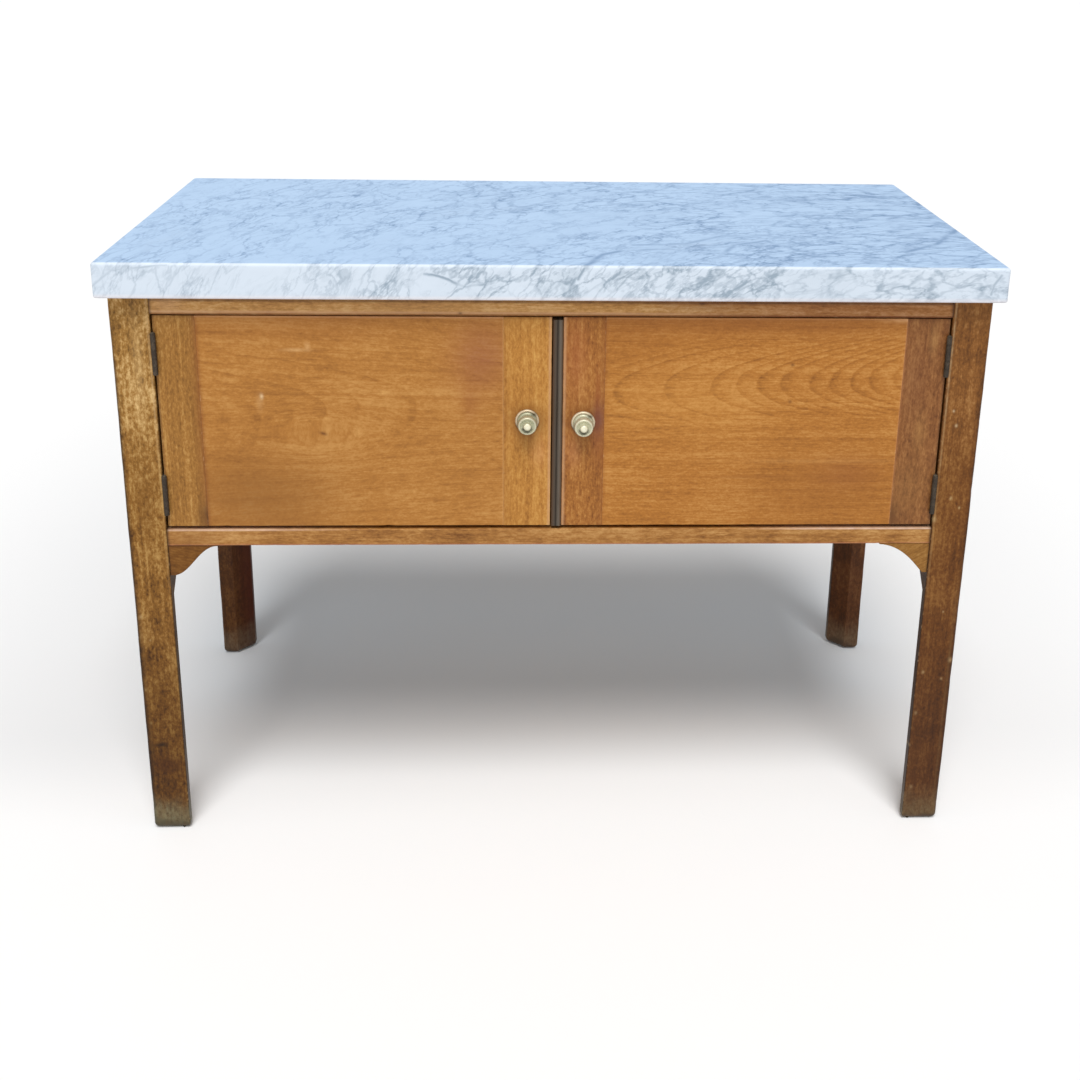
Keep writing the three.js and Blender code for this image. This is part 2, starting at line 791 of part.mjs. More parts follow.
function carcass() {
  const group = new THREE.Group();
  group.add(
    marbleTop(),
    ...legs(),
    ...rails(),
    ...brackets(),
    sideBoard('left_side_board', -1),
    sideBoard('right_side_board', 1),
    ...backBoards(),
    ...cupboardFloor(),
    ...floorBattens(),
    ...topBearers(),
    doorStop(),
    ...glueBlocks(),
    ...hingeFrameSides('left', -1),
    ...hingeFrameSides('right', 1));
  return group;
}

// The finished frame's origin is on the floor under the middle of the whole outline,
// which reaches from the knobs' tips to the back of the marble
const washstand = new THREE.Group();
washstand.add(carcass(), leftDoor(), rightDoor());
washstand.children.forEach((group) => {
  group.position.y = -(knobTipY + carcassDepth + marbleBackOverhang) / 2;
});

export default washstand;
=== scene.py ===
"""A marble-top washstand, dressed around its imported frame: stone, old mahogany, brass and steel.

Metres, +X to the viewer's right, +Y from the doors to the back, +Z up from the floor.
Materials and surfaces count in millimetres, so that the size of a vein, pore or easing reads as it is.
"""

import math

import bpy
import numpy as np
from mathutils import Matrix, Vector


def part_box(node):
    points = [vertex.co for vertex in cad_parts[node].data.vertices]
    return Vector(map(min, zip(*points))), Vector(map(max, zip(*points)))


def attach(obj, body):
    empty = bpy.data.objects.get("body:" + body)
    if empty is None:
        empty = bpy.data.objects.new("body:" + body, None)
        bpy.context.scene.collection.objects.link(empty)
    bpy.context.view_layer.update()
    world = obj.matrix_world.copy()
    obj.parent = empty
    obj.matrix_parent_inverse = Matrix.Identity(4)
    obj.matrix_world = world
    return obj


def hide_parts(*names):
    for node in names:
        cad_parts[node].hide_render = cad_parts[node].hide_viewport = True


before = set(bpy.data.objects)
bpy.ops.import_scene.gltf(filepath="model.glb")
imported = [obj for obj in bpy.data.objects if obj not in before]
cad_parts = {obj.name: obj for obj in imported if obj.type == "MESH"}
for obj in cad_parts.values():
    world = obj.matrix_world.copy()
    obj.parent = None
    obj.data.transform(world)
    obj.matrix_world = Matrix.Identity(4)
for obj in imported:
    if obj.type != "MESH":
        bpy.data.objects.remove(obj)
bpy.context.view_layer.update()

MM = 0.001
AXES = {"x": (0, 2, 1), "y": (1, 2, 0), "z": (2, 0, 1)}  # along the grain, across its face, into it
NOISE_GAIN = 5.0  # brings the spread of a noise texture to about one
SEED_STEPS = (1.37, 2.11, 0.73)  # how far one unit of a seed moves a noise along X, Y and Z


# Shader nodes

def linear(red, green, blue):
    """A colour as seen on a screen, 0 to 255, as the shader's linear light."""
    shares = (value / 255 for value in (red, green, blue))
    return tuple(s / 12.92 if s <= 0.04045 else ((s + 0.055) / 1.055) ** 2.4 for s in shares) + (1.0,)


def operator(operation, swapped=False):
    """A method that adds a Math node for a wire and, where it has two sides, one other value."""
    def method(self, other=None):
        return self.paint.math(operation, *((other, self) if swapped else (self, other)))
    return method


class Wire:
    """An output socket. Arithmetic on it adds Math nodes to its material."""

    def __init__(self, paint, socket):
        self.paint = paint
        self.socket = socket

    __add__, __radd__ = operator("ADD"), operator("ADD", True)
    __sub__, __rsub__ = operator("SUBTRACT"), operator("SUBTRACT", True)
    __mul__, __rmul__ = operator("MULTIPLY"), operator("MULTIPLY", True)
    __truediv__, __pow__, __abs__ = operator("DIVIDE"), operator("POWER"), operator("ABSOLUTE")
    least, most = operator("MINIMUM"), operator("MAXIMUM")

    def fade(self):
        """e to the power of minus this: 1 at 0, and about a third at 1."""
        return self.paint.math("EXPONENT", self * -1.0)

    def rise(self, start, end):
        """0 before start, 1 after end, and a smooth step between them. Start may be the larger one."""
        inputs = {"Value": self, "From Min": min(start, end), "From Max": max(start, end)}
        if start > end:
            inputs.update({"To Min": 1.0, "To Max": 0.0})
        return self.paint.node("MapRange", inputs, interpolation_type="SMOOTHSTEP")

    def output(self, name):
        """Another output of the same node."""
        return Wire(self.paint, self.socket.node.outputs[name])


class Paint:
    """The nodes of one material or of the world."""

    def __init__(self, owner):
        owner.use_nodes = True
        self.owner = owner
        self.tree = owner.node_tree
        self.tree.nodes.clear()

    def node(self, kind, inputs=None, output=0, **settings):
        """Adds a node: its settings first, then its sockets' values or links."""
        made = self.tree.nodes.new("ShaderNode" + kind)
        for key, value in settings.items():
            setattr(made, key, value)
        for key, value in (inputs or {}).items():
            if isinstance(value, Wire):
                self.tree.links.new(value.socket, made.inputs[key])
            else:
                made.inputs[key].default_value = value
        return Wire(self, made.outputs[output]) if made.outputs else None

    def math(self, operation, first, second=None):
        inputs = {0: first} if second is None else {0: first, 1: second}
        return self.node("Math", inputs, operation=operation)

    def ramp(self, value, stops):
        """Stops are (place, linear colour)."""
        made = self.node("ValToRGB", {"Fac": value})
        elements = made.socket.node.color_ramp.elements
        while len(elements) < len(stops):
            elements.new(0.5)
        for element, (place, color) in zip(elements, stops):
            element.position, element.color = place, color
        return made

    def tones(self, value, tones):
        """Dark at 0, middle at a half and pale at 1."""
        return self.ramp(value, [(index / 2, linear(*tone)) for index, tone in enumerate(tones)])

    def mix(self, share, first, second, blend="MIX"):
        """Colour first where share is 0, blended with second as share goes to 1. Each is a wire or a colour
        as seen on a screen."""
        first, second = (color if isinstance(color, Wire) else linear(*color) for color in (first, second))
        return self.node(
            "Mix", {0: share, 6: first, 7: second}, 2, data_type="RGBA", blend_type=blend, clamp_factor=True)

    def vector(self, x, y, z):
        return self.node("CombineXYZ", {0: x, 1: y, 2: z})

    def scaled(self, vector, sizes, seed):
        """Vector in units of one size or three, moved to its own part of a noise by the seed."""
        shares = tuple(1 / size for size in np.broadcast_to(sizes, 3).tolist())
        offset = tuple(seed * step for step in SEED_STEPS)
        return self.node("VectorMath", {0: vector, 1: shares, 2: offset}, operation="MULTIPLY_ADD")

    def noise(self, vector, sizes, seed, detail=2.0, roughness=0.5, distortion=0.0):
        """Noise of about unit spread round zero, whose features have these sizes."""
        inputs = {
            "Vector": self.scaled(vector, sizes, seed), "Scale": 1.0, "Detail": detail,
            "Roughness": roughness, "Distortion": distortion}
        return (self.node("TexNoise", inputs) - 0.5) * NOISE_GAIN

    def bump(self, height):
        """A normal from a height in millimetres."""
        return self.node("Bump", {"Strength": 1.0, "Distance": MM, "Height": height})

    def finish(self, **sockets):
        """Ends a material in one Principled shader. Names use _ for the spaces."""
        shader = self.node("BsdfPrincipled", {key.replace("_", " "): value for key, value in sockets.items()})
        self.node("OutputMaterial", {"Surface": shader})
        return self.owner


def new_paint(name):
    """A new material's nodes, and the point on the object in millimetres."""
    paint = Paint(bpy.data.materials.new(name))
    point = paint.node("TexCoord", None, "Object")
    return paint, paint.node("VectorMath", {"Vector": point, "Scale": 1 / MM}, operation="SCALE")


def apart(point):
    """A point's three places, each a wire."""
    x = point.paint.node("SeparateXYZ", {0: point})
    return x, x.output("Y"), x.output("Z")


def edge_distance(places, low, high):
    """On a box's surface, how far its nearest edge is: the middle of the three distances to its faces."""
    dx, dy, dz = ((value - start).least(end - value) for value, start, end in zip(places, low, high))
    return dx.least(dy).most(dx.most(dy).least(dz))


def spot(across, up):
    """A soft round spot: 1 at its middle, and a third of that at distance 1."""
    return (across * across + up * up).fade()


# Wood

ARCH_POWER, ARCH_EDGE, ARCH_FADE, ARCH_FLOOR = 2.3, 4.0, 2.5, 0.22
WOOD_ROUGHNESS, WOOD_SPECULAR = 0.44, 0.2
KNOT_TONE, SCUFF_TONE, WEAR_TONE, DUST_TONE = (92, 48, 22), (228, 192, 148), (214, 176, 132), (96, 78, 58)


def arch_bands(along, across, arches):
    """Cathedral figure: arches one within another, that open along the grain.

    A point's arch is the place of the tip that its own curve starts from. Spread is (distance behind the
    tip, a limb's distance from the middle line there), and tips is a list of (place, strength). Each arch
    is dark at its edge and fades inwards, and all are lost this far below and above the middle line."""
    reach = (along - arches["start"]) * arches["way"]
    side = across - arches["middle"] - reach * arches["lean"]
    (behind, apart), (below, above), tips = arches["spread"], arches["lost"], arches["tips"]
    tip = reach - (abs(side) / apart) ** ARCH_POWER * behind
    first, last = tips[0][0] - ARCH_EDGE, tips[-1][0] + 6 * ARCH_EDGE
    stops = []
    for place, strength in tips:
        stops += [(place - ARCH_EDGE, 0.0), (place, strength ** (1 / ARCH_FADE))]
    stops = [((place - first) / (last - first), (dark,) * 3 + (1,)) for place, dark in stops + [(last, 0.0)]]
    band = tip.paint.ramp((tip - first) / (last - first), stops) ** ARCH_FADE
    return (band - ARCH_FLOOR) * side.rise(-below, -0.3 * below) * side.rise(above, 0.4 * above)


def draw_line(paint, color, point, places, seed, axis, at, width, tone, strength, broken, within=None,
              arris=None):
    """A line across one axis (0, 1 or 2) of the wood, in millimetres: wear and grime, and on some pieces
    painted shade and painted highlights.

    Broken is how much of it chance leaves out. Within, if given, is (axis, full, gone): the line is whole
    on one side of full and fades out up to gone. Arris, if given, is (axis, at, width): the line keeps near
    this place of another axis."""
    away = (places[axis] - at) / width
    away = away * away
    if arris:
        aside = (places[arris[0]] - arris[1]) / arris[2]
        away = away + aside * aside
    left = paint.noise(point, 16, seed, detail=4.0, roughness=0.7).rise(-1.2, 1.4)
    share = away.fade() * strength * (1.0 - broken * left)
    if within:
        share = share * places[within[0]].rise(within[2], within[1])
    return paint.mix(share, color, tone)


def mahogany(name, low, high, along, tones, seed, bands, mottle, waviness=2.5, slope=0.0, pepper=0.05,
             streaks=0.05, blotches=(0.08, 110.0), fan=None, arches=None, knots=(), stains_and_shade=(), lines=(),
             fades=(), wear=0.3, scuffs=0.5):
    """Polished mahogany. Low and high are the piece's corners in millimetres, tones its dark, middle and
    pale colours. One value, the tone, gathers the figure, streaks, mottle and blotches, and a ramp colours
    it. Bands is (depth, width), mottle (depth, length, width), pepper the depth of the small grains and
    blotches (depth, size). Fan, if given, is (middle, rate): the grain spreads out from this line. Lines
    are as draw_line takes them, the spots (x, z, width, height, tone, strength) and fades (axis, start, end,
    tone, strength, blend). Spots are stain marks and chips, and on some pieces painted shade. On some
    pieces, lines and fades also carry painted shade, and lines painted highlights."""
    paint, point = new_paint(name)
    places = apart(point)
    u, v, w = (places[index] for index in AXES[along])
    bend = paint.noise(paint.vector(u, v, w), (260, 70, 70), seed, detail=1.0)
    v_bent = v + bend * waviness + u * slope
    if fan:
        v_bent = v_bent + (v - fan[0]) * u * fan[1]
    for knot_u, knot_v, radius in knots:
        near = spot((u - knot_u) / (7.2 * radius), (v - knot_v) / (3.0 * radius))
        v_bent = v_bent - (v - knot_v) * near * 0.75
    grain = paint.vector(u, v_bent, w)
    tone = 0.5 + bands[0] * paint.noise(grain, (420, bands[1], 40), seed + 1, roughness=0.6)
    tone = tone + streaks * paint.noise(grain, (60, 1.5, 3), seed + 2, detail=3.0)
    specks = paint.noise(grain, (mottle[1], mottle[2], 6), seed + 3, detail=4.0, roughness=0.7)
    tone = tone + mottle[0] * specks + pepper * paint.noise(grain, (3.4, 2.4, 3.0), seed + 3.5)
    tone = tone + blotches[0] * paint.noise(point, blotches[1], seed + 4, detail=3.0)
    if arches:
        wander = paint.noise(point, 60, seed + 6.5, detail=3.0)
        strength = paint.noise(point, (70, 50, 50), seed + 7.5, detail=3.0).rise(-3.4, 0.4) * arches["depth"]
        tone = tone - arch_bands(u + wander * 3.0, v_bent + wander * 1.5, arches) * strength
    pore = paint.noise(grain, (5.5, 0.45, 0.6), seed + 5, detail=1.0).rise(1.0, 1.7)
    color = paint.tones(tone - pore * 0.2, tones)
    for index, mark in enumerate(lines):
        color = draw_line(paint, color, point, places, seed + 13 + index, *mark)
    # Spots: stain marks and chips, and on some pieces painted shade
    for x, z, width, height, mark_tone, strength in stains_and_shade:
        share = spot((places[0] - x) / width, (places[2] - z) / height) * strength
        color = paint.mix(share * (0.75 + 0.25 * specks), color, mark_tone)
    for knot_u, knot_v, radius in knots:
        lean = (u - knot_u) * 0.25
        share = spot((u - knot_u) / (0.42 * radius), (v - knot_v + lean) / (0.22 * radius))
        color = paint.mix(share * 0.75, color, KNOT_TONE)
    for axis, start, end, fade_tone, strength, blend in fades:
        uneven = places[axis] + 12.0 * paint.noise(point, 30, seed + 6, detail=3.0)
        share = uneven.rise(start, end) * strength
        if blend == "MIX":
            share = share * (0.62 + 0.38 * specks)
        color = paint.mix(share, color, fade_tone, blend)
    marks = paint.noise(point, 5, seed + 7, detail=4.0, roughness=0.75).rise(1.75, 2.4)
    marks = marks * paint.noise(point, 60, seed + 8).rise(-0.6, 1.4)
    scratch = paint.noise(point, (26, 30, 0.9), seed + 9, detail=1.0).rise(2.1, 2.6)
    color = paint.mix((marks * 0.6 + scratch * 0.3) * scuffs, color, SCUFF_TONE)
    edge = edge_distance(places, low, high) + 0.6 * paint.noise(point, 14, seed + 10, detail=3.0)
    chips = paint.noise(point, 5, seed + 11, detail=3.0).rise(0.2, 1.4)
    color = paint.mix(edge.rise(1.8, 0.2) * chips * wear, color, WEAR_TONE)
    height = specks * 0.012 - pore * 0.05 + paint.noise(grain, (80, 5, 8), seed + 12) * 0.03
    rough = WOOD_ROUGHNESS + 0.05 * paint.noise(point, 40, seed + 4.5) + pore * 0.12
    return paint.finish(
        Base_Color=color, Roughness=rough.most(0.2), Normal=paint.bump(height),
        Specular_IOR_Level=WOOD_SPECULAR)


def pine(name, along, tones, seed):
    """Unpolished inner wood: wide soft rings, fine fibres and years of dust."""
    paint, point = new_paint(name)
    places = apart(point)
    u, v, w = (places[index] for index in AXES[along])
    bend = paint.noise(paint.vector(u, v, w), (300, 60, 60), seed, detail=1.0)
    grain = paint.vector(u, v + bend * 5.0, w)
    rings = paint.noise(grain, (700, 9, 12), seed + 1, detail=1.0)
    tone = 0.5 + 0.16 * rings + 0.07 * paint.noise(grain, (40, 0.9, 0.9), seed + 2, detail=3.0)
    color = paint.tones(tone + 0.1 * paint.noise(point, 140, seed + 3, detail=3.0), tones)
    dust = paint.noise(point, 35, seed + 4, detail=5.0, roughness=0.7).rise(0.6, 2.4)
    height = 0.05 * paint.noise(grain, (50, 1.2, 1.2), seed + 5)
    return paint.finish(
        Base_Color=paint.mix(dust * 0.35, color, DUST_TONE), Roughness=0.78 + 0.03 * rings,
        Normal=paint.bump(height), Specular_IOR_Level=0.25)


# Stone

FRONT_STONE, FRONT_VEIN, LOWER_ARRIS = (220, 231, 243), (86, 116, 138), (250, 240, 240)
# Painted light: the upper face's stone, veins and clouds carry the sky's cool cast and its pale reflection
SKY_LIT_TOP_STONE, SKY_LIT_TOP_VEIN, SKY_LIT_TOP_CLOUD = (189, 214, 242), (131, 157, 191), (205, 218, 233)
# A painted highlight along the upper arris
UPPER_ARRIS_HIGHLIGHT = (236, 244, 252)
CRACK_BEND = 1.3  # how far the noise moves the cells' borders, in cells
STEADY_SHAKE = 4.0  # a drawn vein wanders by its own width, and a wider one than this by this
DRAWN_VEINS = (
    # Strength, width and the places passed, as (x, distance from the front edge): back on the top, and
    # below 0 down the front
    (0.75, 5.0, ((32, 0), (58, 59), (81, 77), (132, 87), (176, 83))),
    (0.7, 1.8, ((24, -16), (32, 0))),
    (0.65, 4.5, ((190, 42), (222, 111), (264, 135), (309, 66))),
    (0.55, 5.0, ((96, 107), (161, 115), (212, 161), (272, 163), (315, 147))),
    (0.85, 5.5, ((535, 214), (481, 125), (429, 80))),
    (0.6, 1.5, ((-532, -27), (-522, -19), (-510, -9), (-481, -5), (-447, -2))),
    (0.7, 1.7, ((-153, -10), (-130, -17), (-105, -25), (-84, -22))),
    (0.7, 1.5, ((-35, -15), (-24, -6), (-12, -2))),
    (0.65, 1.8, ((523, -8), (515, -20), (512, -32))),
)


def drawn_vein(across, back, places, width):
    """A vein through these places: 1 on the nearest of its straight parts, a third of that at the width."""
    nearest = None
    for (start_x, start_y), (end_x, end_y) in zip(places, places[1:]):
        step_x, step_y = end_x - start_x, end_y - start_y
        from_x, from_y = across - start_x, back - start_y
        share = (from_x * step_x + from_y * step_y) / (step_x ** 2 + step_y ** 2)
        share = share.most(0.0).least(1.0)
        aside_x, aside_y = from_x - share * step_x, from_y - share * step_y
        distance = aside_x * aside_x + aside_y * aside_y
        nearest = nearest.least(distance) if nearest else distance
    return (nearest / width ** 2).fade()


def marble_stone(low, high):
    """Polished white marble: grey clouds, veins where a bent noise crosses its middle value, and cracks.

    Low and high are the slab's corners in millimetres. The veins run along the depth at the left and
    along the width at the right, where they grow denser. The upper face's colours are painted light: the
    cool cast of the sky over it and its pale reflection are painted in, so the shader adds no reflection.
    A painted highlight runs along the upper arris, and the lower arris is a paler line."""
    paint, point = new_paint("polished_marble")
    x, y, z = apart(point)
    across = x * 0.5 - y * 0.46 - z * 0.6 - x * x * 0.0004 - x * y * 0.0004
    flow = paint.vector(x * 0.62 + y * 0.65 + z * 0.4, across, z * 0.6 - y * 0.35 + x * 0.2)
    clouds = paint.noise(flow, (130, 60, 80), 3.1, detail=5.0, roughness=0.62, distortion=0.4)
    crowd = 0.4 * x.rise(low[0], high[0])

    def in_places(sizes, seed, coverage):
        """Leaves out parts of the veins, fewer of them to the right."""
        kept = paint.noise(flow, 1.7 * np.array(sizes), seed + 3.3, detail=3.0) + crowd
        return kept.rise(coverage, coverage + 1.2)

    def veins(sizes, seed, width, coverage):
        ridge = paint.noise(flow, sizes, seed, detail=5.0, roughness=0.6, distortion=0.5)
        return abs(ridge).rise(width, 0.0) * in_places(sizes, seed, coverage)

    def cracks(sizes, seed, width, coverage):
        """Thin lines between cells whose borders a noise has bent."""
        noise = {
            "Vector": paint.scaled(flow, sizes, seed + 9), "Scale": 1.1, "Detail": 4.0, "Roughness": 0.62}
        bend = {0: paint.node("TexNoise", noise, "Color"), 1: (CRACK_BEND,) * 3}
        bend[2] = paint.scaled(flow, sizes, seed)
        cells = {"Vector": paint.node("VectorMath", bend, operation="MULTIPLY_ADD"), "Scale": 1.0}
        border = paint.node("TexVoronoi", cells, feature="DISTANCE_TO_EDGE")
        return border.rise(width, 0.0) * in_places(sizes, seed, coverage)

    dots = paint.noise(flow, (8, 4, 4), 51.1, detail=3.0).rise(1.6, 2.6) * in_places((60, 40, 40), 61.0, -0.6)
    grey = (
        veins((150, 62, 110), 11.7, 0.16, -0.2) * 0.3 + veins((84, 32, 60), 23.9, 0.2, -0.5) * 0.36
        + veins((40, 16, 28), 37.3, 0.26, -0.4) * 0.26 + cracks((100, 48, 76), 41.9, 0.055, -0.6) * 0.36
        + cracks((46, 25, 34), 53.1, 0.08, -0.5) * 0.3 + dots * 0.3
        + (clouds * 0.6 + crowd).rise(-0.3, 1.7) * 0.18)
    shake = paint.noise(point, 24, 71.3, detail=4.0)
    from_edge = y - low[1] + z - high[2]
    kept = paint.noise(point, 30, 77.9, detail=4.0).rise(-1.6, 0.6)
    for strength, width, places in DRAWN_VEINS:
        aside = min(width, STEADY_SHAKE) * shake
        grey = grey.most(drawn_vein(x + aside, from_edge + aside, places, width) * kept * strength)
    calm = 0.55 + 0.45 * x.rise(0.7 * low[0], 0.2 * low[0]) - 0.25 * x.rise(0.2 * high[0], 0.8 * high[0])
    stone = paint.mix((grey * calm).least(0.6), FRONT_STONE, FRONT_VEIN)
    # A paler band along the lower arris
    stone = paint.mix(z.rise(low[2] + 7, low[2] + 1) * 0.5, stone, LOWER_ARRIS)
    # The upper face takes the colours with the painted sky light and reflection
    sky_lit_top = paint.mix((grey * 1.12).least(0.9), SKY_LIT_TOP_STONE, SKY_LIT_TOP_VEIN)
    sky_lit_top = paint.mix(clouds.rise(0.4, 2.4) * 0.35, sky_lit_top, SKY_LIT_TOP_CLOUD)
    upper = z.rise(high[2] - 0.4, high[2] - 0.05)
    # A painted highlight along the upper arris of the front and sides
    arris = (z - high[2] + 1.6) / 1.2
    color = paint.mix(upper, stone, sky_lit_top)
    color = paint.mix((arris * arris).fade() * (1.0 - upper) * 0.3, color, UPPER_ARRIS_HIGHLIGHT)
    return paint.finish(
        Base_Color=color, Roughness=0.3 + 0.02 * clouds, Normal=paint.bump(0.004 * clouds),
        Specular_IOR_Level=0.0)


# Metals

def aged_brass(name, centre, rings, dark_spots, pale_share, seed):
    """Pale worn brass, turned about the place centre (x, z) in millimetres. Rings is a list of (distance
    from there, tone): bright on the rims and greenish brown in the hollows, uneven with tarnish. The dark
    spots are a list of (x, z, width, height, strength), from the centre: on the knob a painted shadow under
    its button, on the rose darker spots. The pale share is how far the colour is mixed towards pale brass."""
    paint, point = new_paint(name)
    x, _, z = apart(point)
    from_x, from_z = x - centre[0], z - centre[1]
    away = (from_x * from_x + from_z * from_z) ** 0.5
    tarnish = paint.noise(point, 5, seed, detail=4.0, roughness=0.65)
    fine = paint.noise(point, 0.8, seed + 1)
    reach = rings[-1][0]
    color = paint.ramp(
        (away + 0.3 * tarnish) / reach, [(distance / reach, linear(*tone)) for distance, tone in rings])
    color = paint.mix(tarnish.rise(0.2, 2.0) * 0.45, color, (132, 124, 92))
    color = paint.mix(tarnish.rise(-0.4, -2.0) * 0.35, color, (244, 232, 206))
    color = paint.mix(pale_share, color, (242, 236, 210))
    # Dark spots: a painted shadow under the knob's button, and darker spots on the rose
    for dark_x, dark_z, width, height, strength in dark_spots:
        share = spot((from_x - dark_x) / width, (from_z - dark_z) / height) * strength
        color = paint.mix(share * (1.0 + 0.2 * tarnish), color, (66, 58, 34))
    return paint.finish(
        Base_Color=color, Metallic=0.25, Roughness=(0.4 - 0.05 * tarnish).most(0.25),
        Normal=paint.bump(0.03 * fine + 0.02 * tarnish))


def dark_steel(name, tones, seed):
    """Tarnished steel: brown-grey, with rubbed lighter patches."""
    paint, point = new_paint(name)
    patches = paint.noise(point, (11, 11, 14), seed, detail=4.0, roughness=0.65)
    fine = paint.noise(point, (1.2, 1.2, 3.0), seed + 1)
    return paint.finish(
        Base_Color=paint.tones(0.5 + 0.18 * patches + 0.08 * fine, tones), Metallic=0.4,
        Roughness=(0.55 + 0.06 * patches).most(0.3), Normal=paint.bump(0.03 * fine))


def reeded_metal(name, left, right, stops, seed):
    """The meeting strip's patina with painted light: tones by the share of the way from its left edge to its
    right one, dark at both edges with painted shade, darker in the groove, and paler on the right reed with
    a painted highlight.
    """
    paint, point = new_paint(name)
    patches = paint.noise(point, (9, 9, 60), seed, detail=4.0, roughness=0.65)
    fine = paint.noise(point, (0.7, 0.7, 14), seed + 1, detail=3.0)
    across = (apart(point)[0] - left + 0.25 * patches) / (right - left)
    color = paint.ramp(across, [(share, linear(*tone)) for share, tone in stops])
    color = paint.mix(patches.rise(0.1, 2.0) * 0.6, color, (56, 44, 32))
    color = paint.mix(fine.rise(0.8, 2.2) * 0.35, color, (146, 136, 120))
    return paint.finish(
        Base_Color=color, Metallic=0.35, Roughness=(0.5 + 0.05 * patches).most(0.3),
        Normal=paint.bump(0.03 * fine))


# Surfaces

CORNER_STEPS, EASING_STEPS, SLAB_STEPS, TURNED_SIDES = 6, 5, 4, 64
EDGE_HOLD, SIDE_PITCH = 0.8, 14.0  # a side's first point from its corner, and the others from each other
END_FACE = 0.8  # the ring that an end's flat face starts from
NICK_SPANS = ((0.02, 0.98), (0.2, 0.8), (1.5, 6))  # a nick's place as a share, its depth and its reach


def ripple(places, seed, length):
    """A smooth irregular wave of about unit height: five sines of growing frequency and chance phases."""
    term = np.arange(5)[:, None]
    phases = np.random.default_rng(seed).uniform(0, 2 * np.pi, term.shape)
    weights = 0.72 ** term
    turns = 2 * np.pi / length * 1.7 ** term
    return (weights * np.sin(turns * np.ravel(places) + phases)).sum(0) / weights.sum() * 1.6


def add_object(name, data):
    made = bpy.data.objects.new(name, data)
    bpy.context.scene.collection.objects.link(made)
    return made


def mesh_piece(name, points, material, body, replaced=(), sharp=38.0):
    """A closed surface from rings of points, [ring, point, xyz] in millimetres: quads between neighbours,
    each ring closed on itself, and a flat face over each end. The sign of its volume tells whether it has
    to be turned outwards. It is smooth up to the sharp angle, in degrees, and hangs on its body."""
    rings, count = points.shape[:2]
    flat = points.reshape(-1, 3) * MM
    ring, step = np.meshgrid(np.arange(rings - 1) * count, np.arange(count), indexing="ij")
    beside = (step + 1) % count
    quads = np.stack([ring + step, ring + beside, ring + count + beside, ring + count + step], -1)
    ends = [np.arange(count)[::-1].tolist(), (np.arange(count) + (rings - 1) * count).tolist()]
    mesh = bpy.data.meshes.new(name)
    mesh.from_pydata(flat, [], quads.reshape(-1, 4).tolist() + ends)
    mesh.calc_loop_triangles()
    corners = np.zeros(len(mesh.loop_triangles) * 3, np.int32)
    mesh.loop_triangles.foreach_get("vertices", corners)
    a, b, c = (flat[corners[start::3]] for start in range(3))
    if (a * np.cross(b, c)).sum() < 0:
        mesh.flip_normals()
    mesh.polygons.foreach_set("use_smooth", np.ones(len(mesh.polygons), bool))
    mesh.set_sharp_from_angle(angle=math.radians(sharp))
    mesh.materials.append(material)
    piece = add_object(name, mesh)
    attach(piece, body)
    if replaced:
        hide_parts(*replaced)


def section_rings(half_a, half_b, radii, lines):
    """A rectangle's outline for each ring, with four eased corners. Half_a and half_b are its half sizes,
    radii [ring, corner] the easings and lines [ring, corner] how straight each is: 0 an arc, 1 a flat
    chamfer. Corners run from (+a, +b) round by (-a, +b). A side has a point just inside each end and the
    rest evenly between them. Returns [ring, point, 2]."""
    share = (1 - np.cos(np.pi * np.arange(CORNER_STEPS + 1) / CORNER_STEPS)) / 2
    turn = share * np.pi / 2
    arc = np.stack([np.cos(turn), np.sin(turn)], -1)
    chord = np.stack([1 - share, share], -1)
    corners = []
    for index, (sign_a, sign_b) in enumerate([(1, 1), (-1, 1), (-1, -1), (1, -1)]):
        radius, line = radii[:, index, None], lines[:, index, None, None]
        unit = (arc * (1 - line) + chord * line)[:, ::sign_a * sign_b]
        a = sign_a * (half_a[:, None] - radius + radius * unit[:, :, 0])
        b = sign_b * (half_b[:, None] - radius + radius * unit[:, :, 1])
        corners.append(np.stack([a, b], -1))
    parts = []
    for index, corner in enumerate(corners):
        start, end = corner[:, -1, None], corners[(index + 1) % 4][:, 0, None]
        length = 2 * (half_b if index % 2 else half_a).max()
        inner, hold = max(int(length / SIDE_PITCH), 1), EDGE_HOLD / length
        shares = np.concatenate([[hold], (np.arange(inner) + 0.5) / inner, [1 - hold]])
        parts += [corner, start + (end - start) * shares[None, :, None]]
    return np.concatenate(parts, 1)


